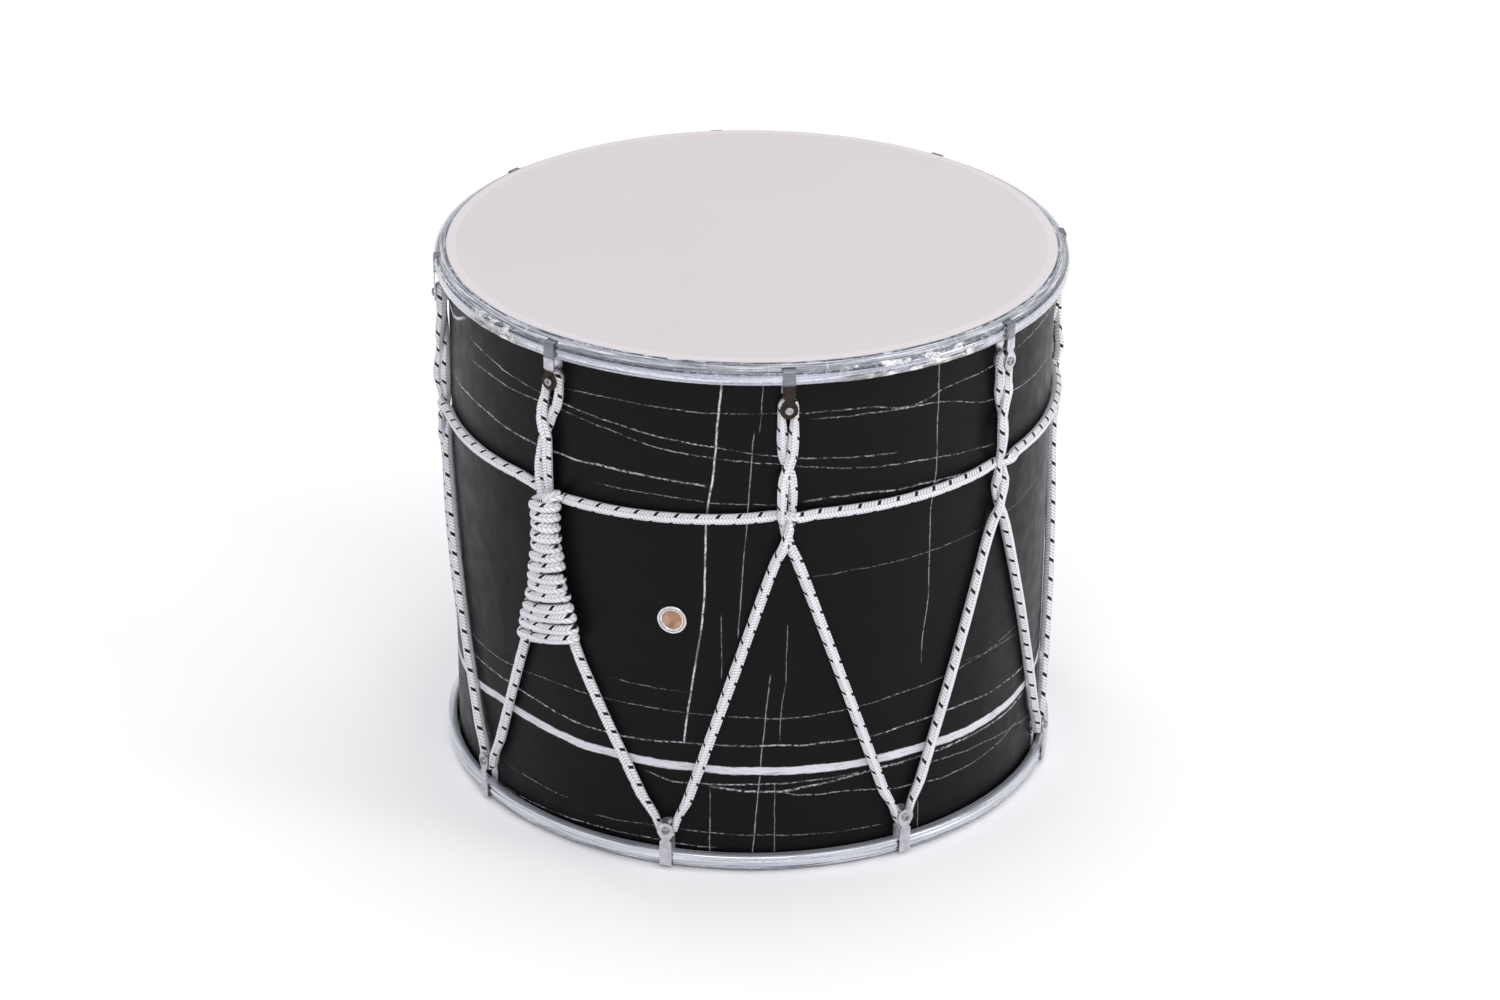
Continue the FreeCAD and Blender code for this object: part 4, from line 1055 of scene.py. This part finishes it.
# Section of a rolled hoop: millimetres from the drum's axis, and from the head's outside plane.
HOOP_SECTION = [
    (176.6, 11.2), (176.5, 8.0), (176.5, 4.6), (176.9, 3.8), (177.8, 3.5), (178.6, 3.9), (179.4, 4.3),
    (180.2, 4.2), (181.0, 4.5), (181.7, 5.4), (182.0, 6.6), (182.0, 7.6), (181.8, 8.4), (181.4, 8.9),
    (181.5, 9.5), (181.9, 10.1), (181.8, 10.9), (181.2, 11.25), (179.6, 11.3),
]
HOOP_SEGMENTS = 900
DENT = 0.035  # depth of each wave of a hoop's dents, mm


def make_hoop(name, node, plane, inwards):
    """A steel hoop rolled to a beaded section; inwards is the way from its head into the drum."""
    section = np.array(HOOP_SECTION)
    dents = RANDOM.normal(0.0, 1.0, (9, 2))
    vertices = []
    for index in range(HOOP_SEGMENTS):
        angle = 2 * math.pi * index / HOOP_SEGMENTS
        dent = sum(a * math.sin((k + 3) * angle) + b * math.cos((k + 3) * angle)
                   for k, (a, b) in enumerate(dents)) * DENT
        for radius, depth in section:
            away = (radius + dent) * MM
            height = plane + inwards * (depth - 0.4 * dent) * MM
            vertices.append((away * math.sin(angle), -away * math.cos(angle), height))
    faces = ring_faces(HOOP_SEGMENTS, len(section), len(section))
    add_piece(name, vertices, faces, "galvanised_steel", node)


# Section of the film over the upper hoop: millimetres in from its outermost place, and down
# from the head's plane.
FILM_SECTION = [(3.6, 3.4), (2.6, 3.2), (1.4, 3.3), (0.6, 4.0), (0.15, 5.2), (0.0, 6.6),
                (0.05, 8.0), (0.1, 9.4), (0.2, 10.6), (0.8, 11.6), (1.8, 11.9)]
FILM_OUTERMOST = 182.55  # mm from the drum's axis
FILM_SEGMENTS = 1500
FACET_SEGMENTS = 6  # of them, to a flat between two creases
STRAP_HALF = 5.4  # half width of the film's rise over a strap, mm
STRAP_GAP = 0.15  # from a strap out to the film, mm


def make_hoop_film():
    """Clear film drawn over the hoop and the hooks' straps, creased all round."""
    strap_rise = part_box("top_hook_1")[0].y / MM * -1.0 - FILM_OUTERMOST + STRAP_GAP
    section = np.array(FILM_SECTION)
    steps = np.arange(len(section))
    facets = RANDOM.normal(0.0, 1.0, (FILM_SEGMENTS // FACET_SEGMENTS + 1, len(section)))
    facets[-1] = facets[0]
    vertices = []
    for index in range(FILM_SEGMENTS):
        azimuth = index * 360.0 / FILM_SEGMENTS
        from_hook = min(abs(signed(azimuth - hook)) for hook in UPPER_HOOKS)
        across = math.radians(from_hook) * FILM_OUTERMOST
        over_strap = strap_rise * math.exp(-(across / STRAP_HALF) ** 4)
        folds = 0.5 * math.sin(azimuth * 6.7 + 2.0 * math.sin(azimuth * 0.9))
        folds += 0.3 * math.sin(azimuth * 17.0)
        crumple = any(first < signed(azimuth) < last for first, last in CRUMPLED)
        facet, share = divmod(index / FACET_SEGMENTS, 1.0)
        folded = facets[int(facet)] * (1.0 - share) + facets[int(facet) + 1] * share
        crease = 0.6 * folds * np.cos(steps * 0.8 + azimuth * 0.7) + (0.12 + 1.2 * crumple) * folded
        angle = math.radians(azimuth)
        for (inward, depth), bulge in zip(section, np.maximum(crease, -0.6)):
            away = (FILM_OUTERMOST - inward + over_strap + 0.20 * bulge) * MM
            height = HEIGHT - (depth - 0.22 - 0.12 * bulge) * MM
            vertices.append((away * math.sin(angle), -away * math.cos(angle), height))
    faces = ring_faces(FILM_SEGMENTS, len(section), len(section) - 1)
    piece = add_piece("crinkled_film", vertices, faces, "clear_film", "top_hoop_film")
    thick = piece.modifiers.new("thickness", "SOLIDIFY")
    thick.thickness = 0.08 * MM
    thick.offset = 1.0


make_hoop("rolled_hoop_upper", "top_hoop", HEIGHT, -1.0)
make_hoop("rolled_hoop_lower", "bottom_hoop", 0.0, 1.0)
make_hoop_film()


# ---------------------- floor and light

FLOOR_HALF = 4.0  # metres


def make_floor():
    mesh = bpy.data.meshes.new("floor")
    half = FLOOR_HALF
    corners = [(-half, -half, 0), (half, -half, 0), (half, half, 0), (-half, half, 0)]
    mesh.from_pydata(corners, [], [(0, 1, 2, 3)])
    made = Material("studio_floor", Roughness=0.9, Specular_IOR_Level=0.1)
    patches = noise(made.place(), 6.0, 2.0)
    made.colour(patches.colours((0.3, (0.955, 0.955, 0.96)), (0.7, (0.97, 0.97, 0.975))))
    mesh.materials.append(made.material)
    floor = add_object("floor", mesh)


def make_softbox(name, azimuth, elevation, distance, width, height, power, colour):
    """A rectangular lamp aimed at the drum's middle; its azimuth is from the camera's."""
    data = bpy.data.lights.new(name, "AREA")
    data.shape = "RECTANGLE"
    data.size = width
    data.size_y = height
    data.energy = power
    data.color = colour
    lamp = add_object(name, data)
    away = direction(azimuth + CAMERA_AZIMUTH, elevation)
    lamp.location = MIDDLE + away * distance
    lamp.rotation_mode = "QUATERNION"
    lamp.rotation_quaternion = (-away).to_track_quat("-Z", "Y")


def make_light():
    world = bpy.data.worlds.new("studio")
    world.use_nodes = True
    sky = world.node_tree.nodes["Background"]
    sky.inputs["Color"].default_value = (0.97, 0.97, 1.0, 1.0)
    sky.inputs["Strength"].default_value = 0.80
    bpy.context.scene.world = world
    make_softbox("overhead", 170.0, 72.0, 3.2, 3.4, 2.6, 24.0, (1.0, 0.99, 0.98))
    make_softbox("right_side", 70.0, 24.0, 2.4, 0.8, 1.6, 13.0, (1.0, 0.99, 0.985))
    make_softbox("left_side", -136.0, 24.0, 2.4, 0.35, 1.6, 3.5, (0.92, 0.95, 1.0))
    make_softbox("front", 4.0, 38.0, 3.4, 2.6, 1.4, 30.0, (1.0, 0.995, 0.99))
    bpy.context.scene.view_settings.view_transform = "Standard"


make_floor()
make_light()
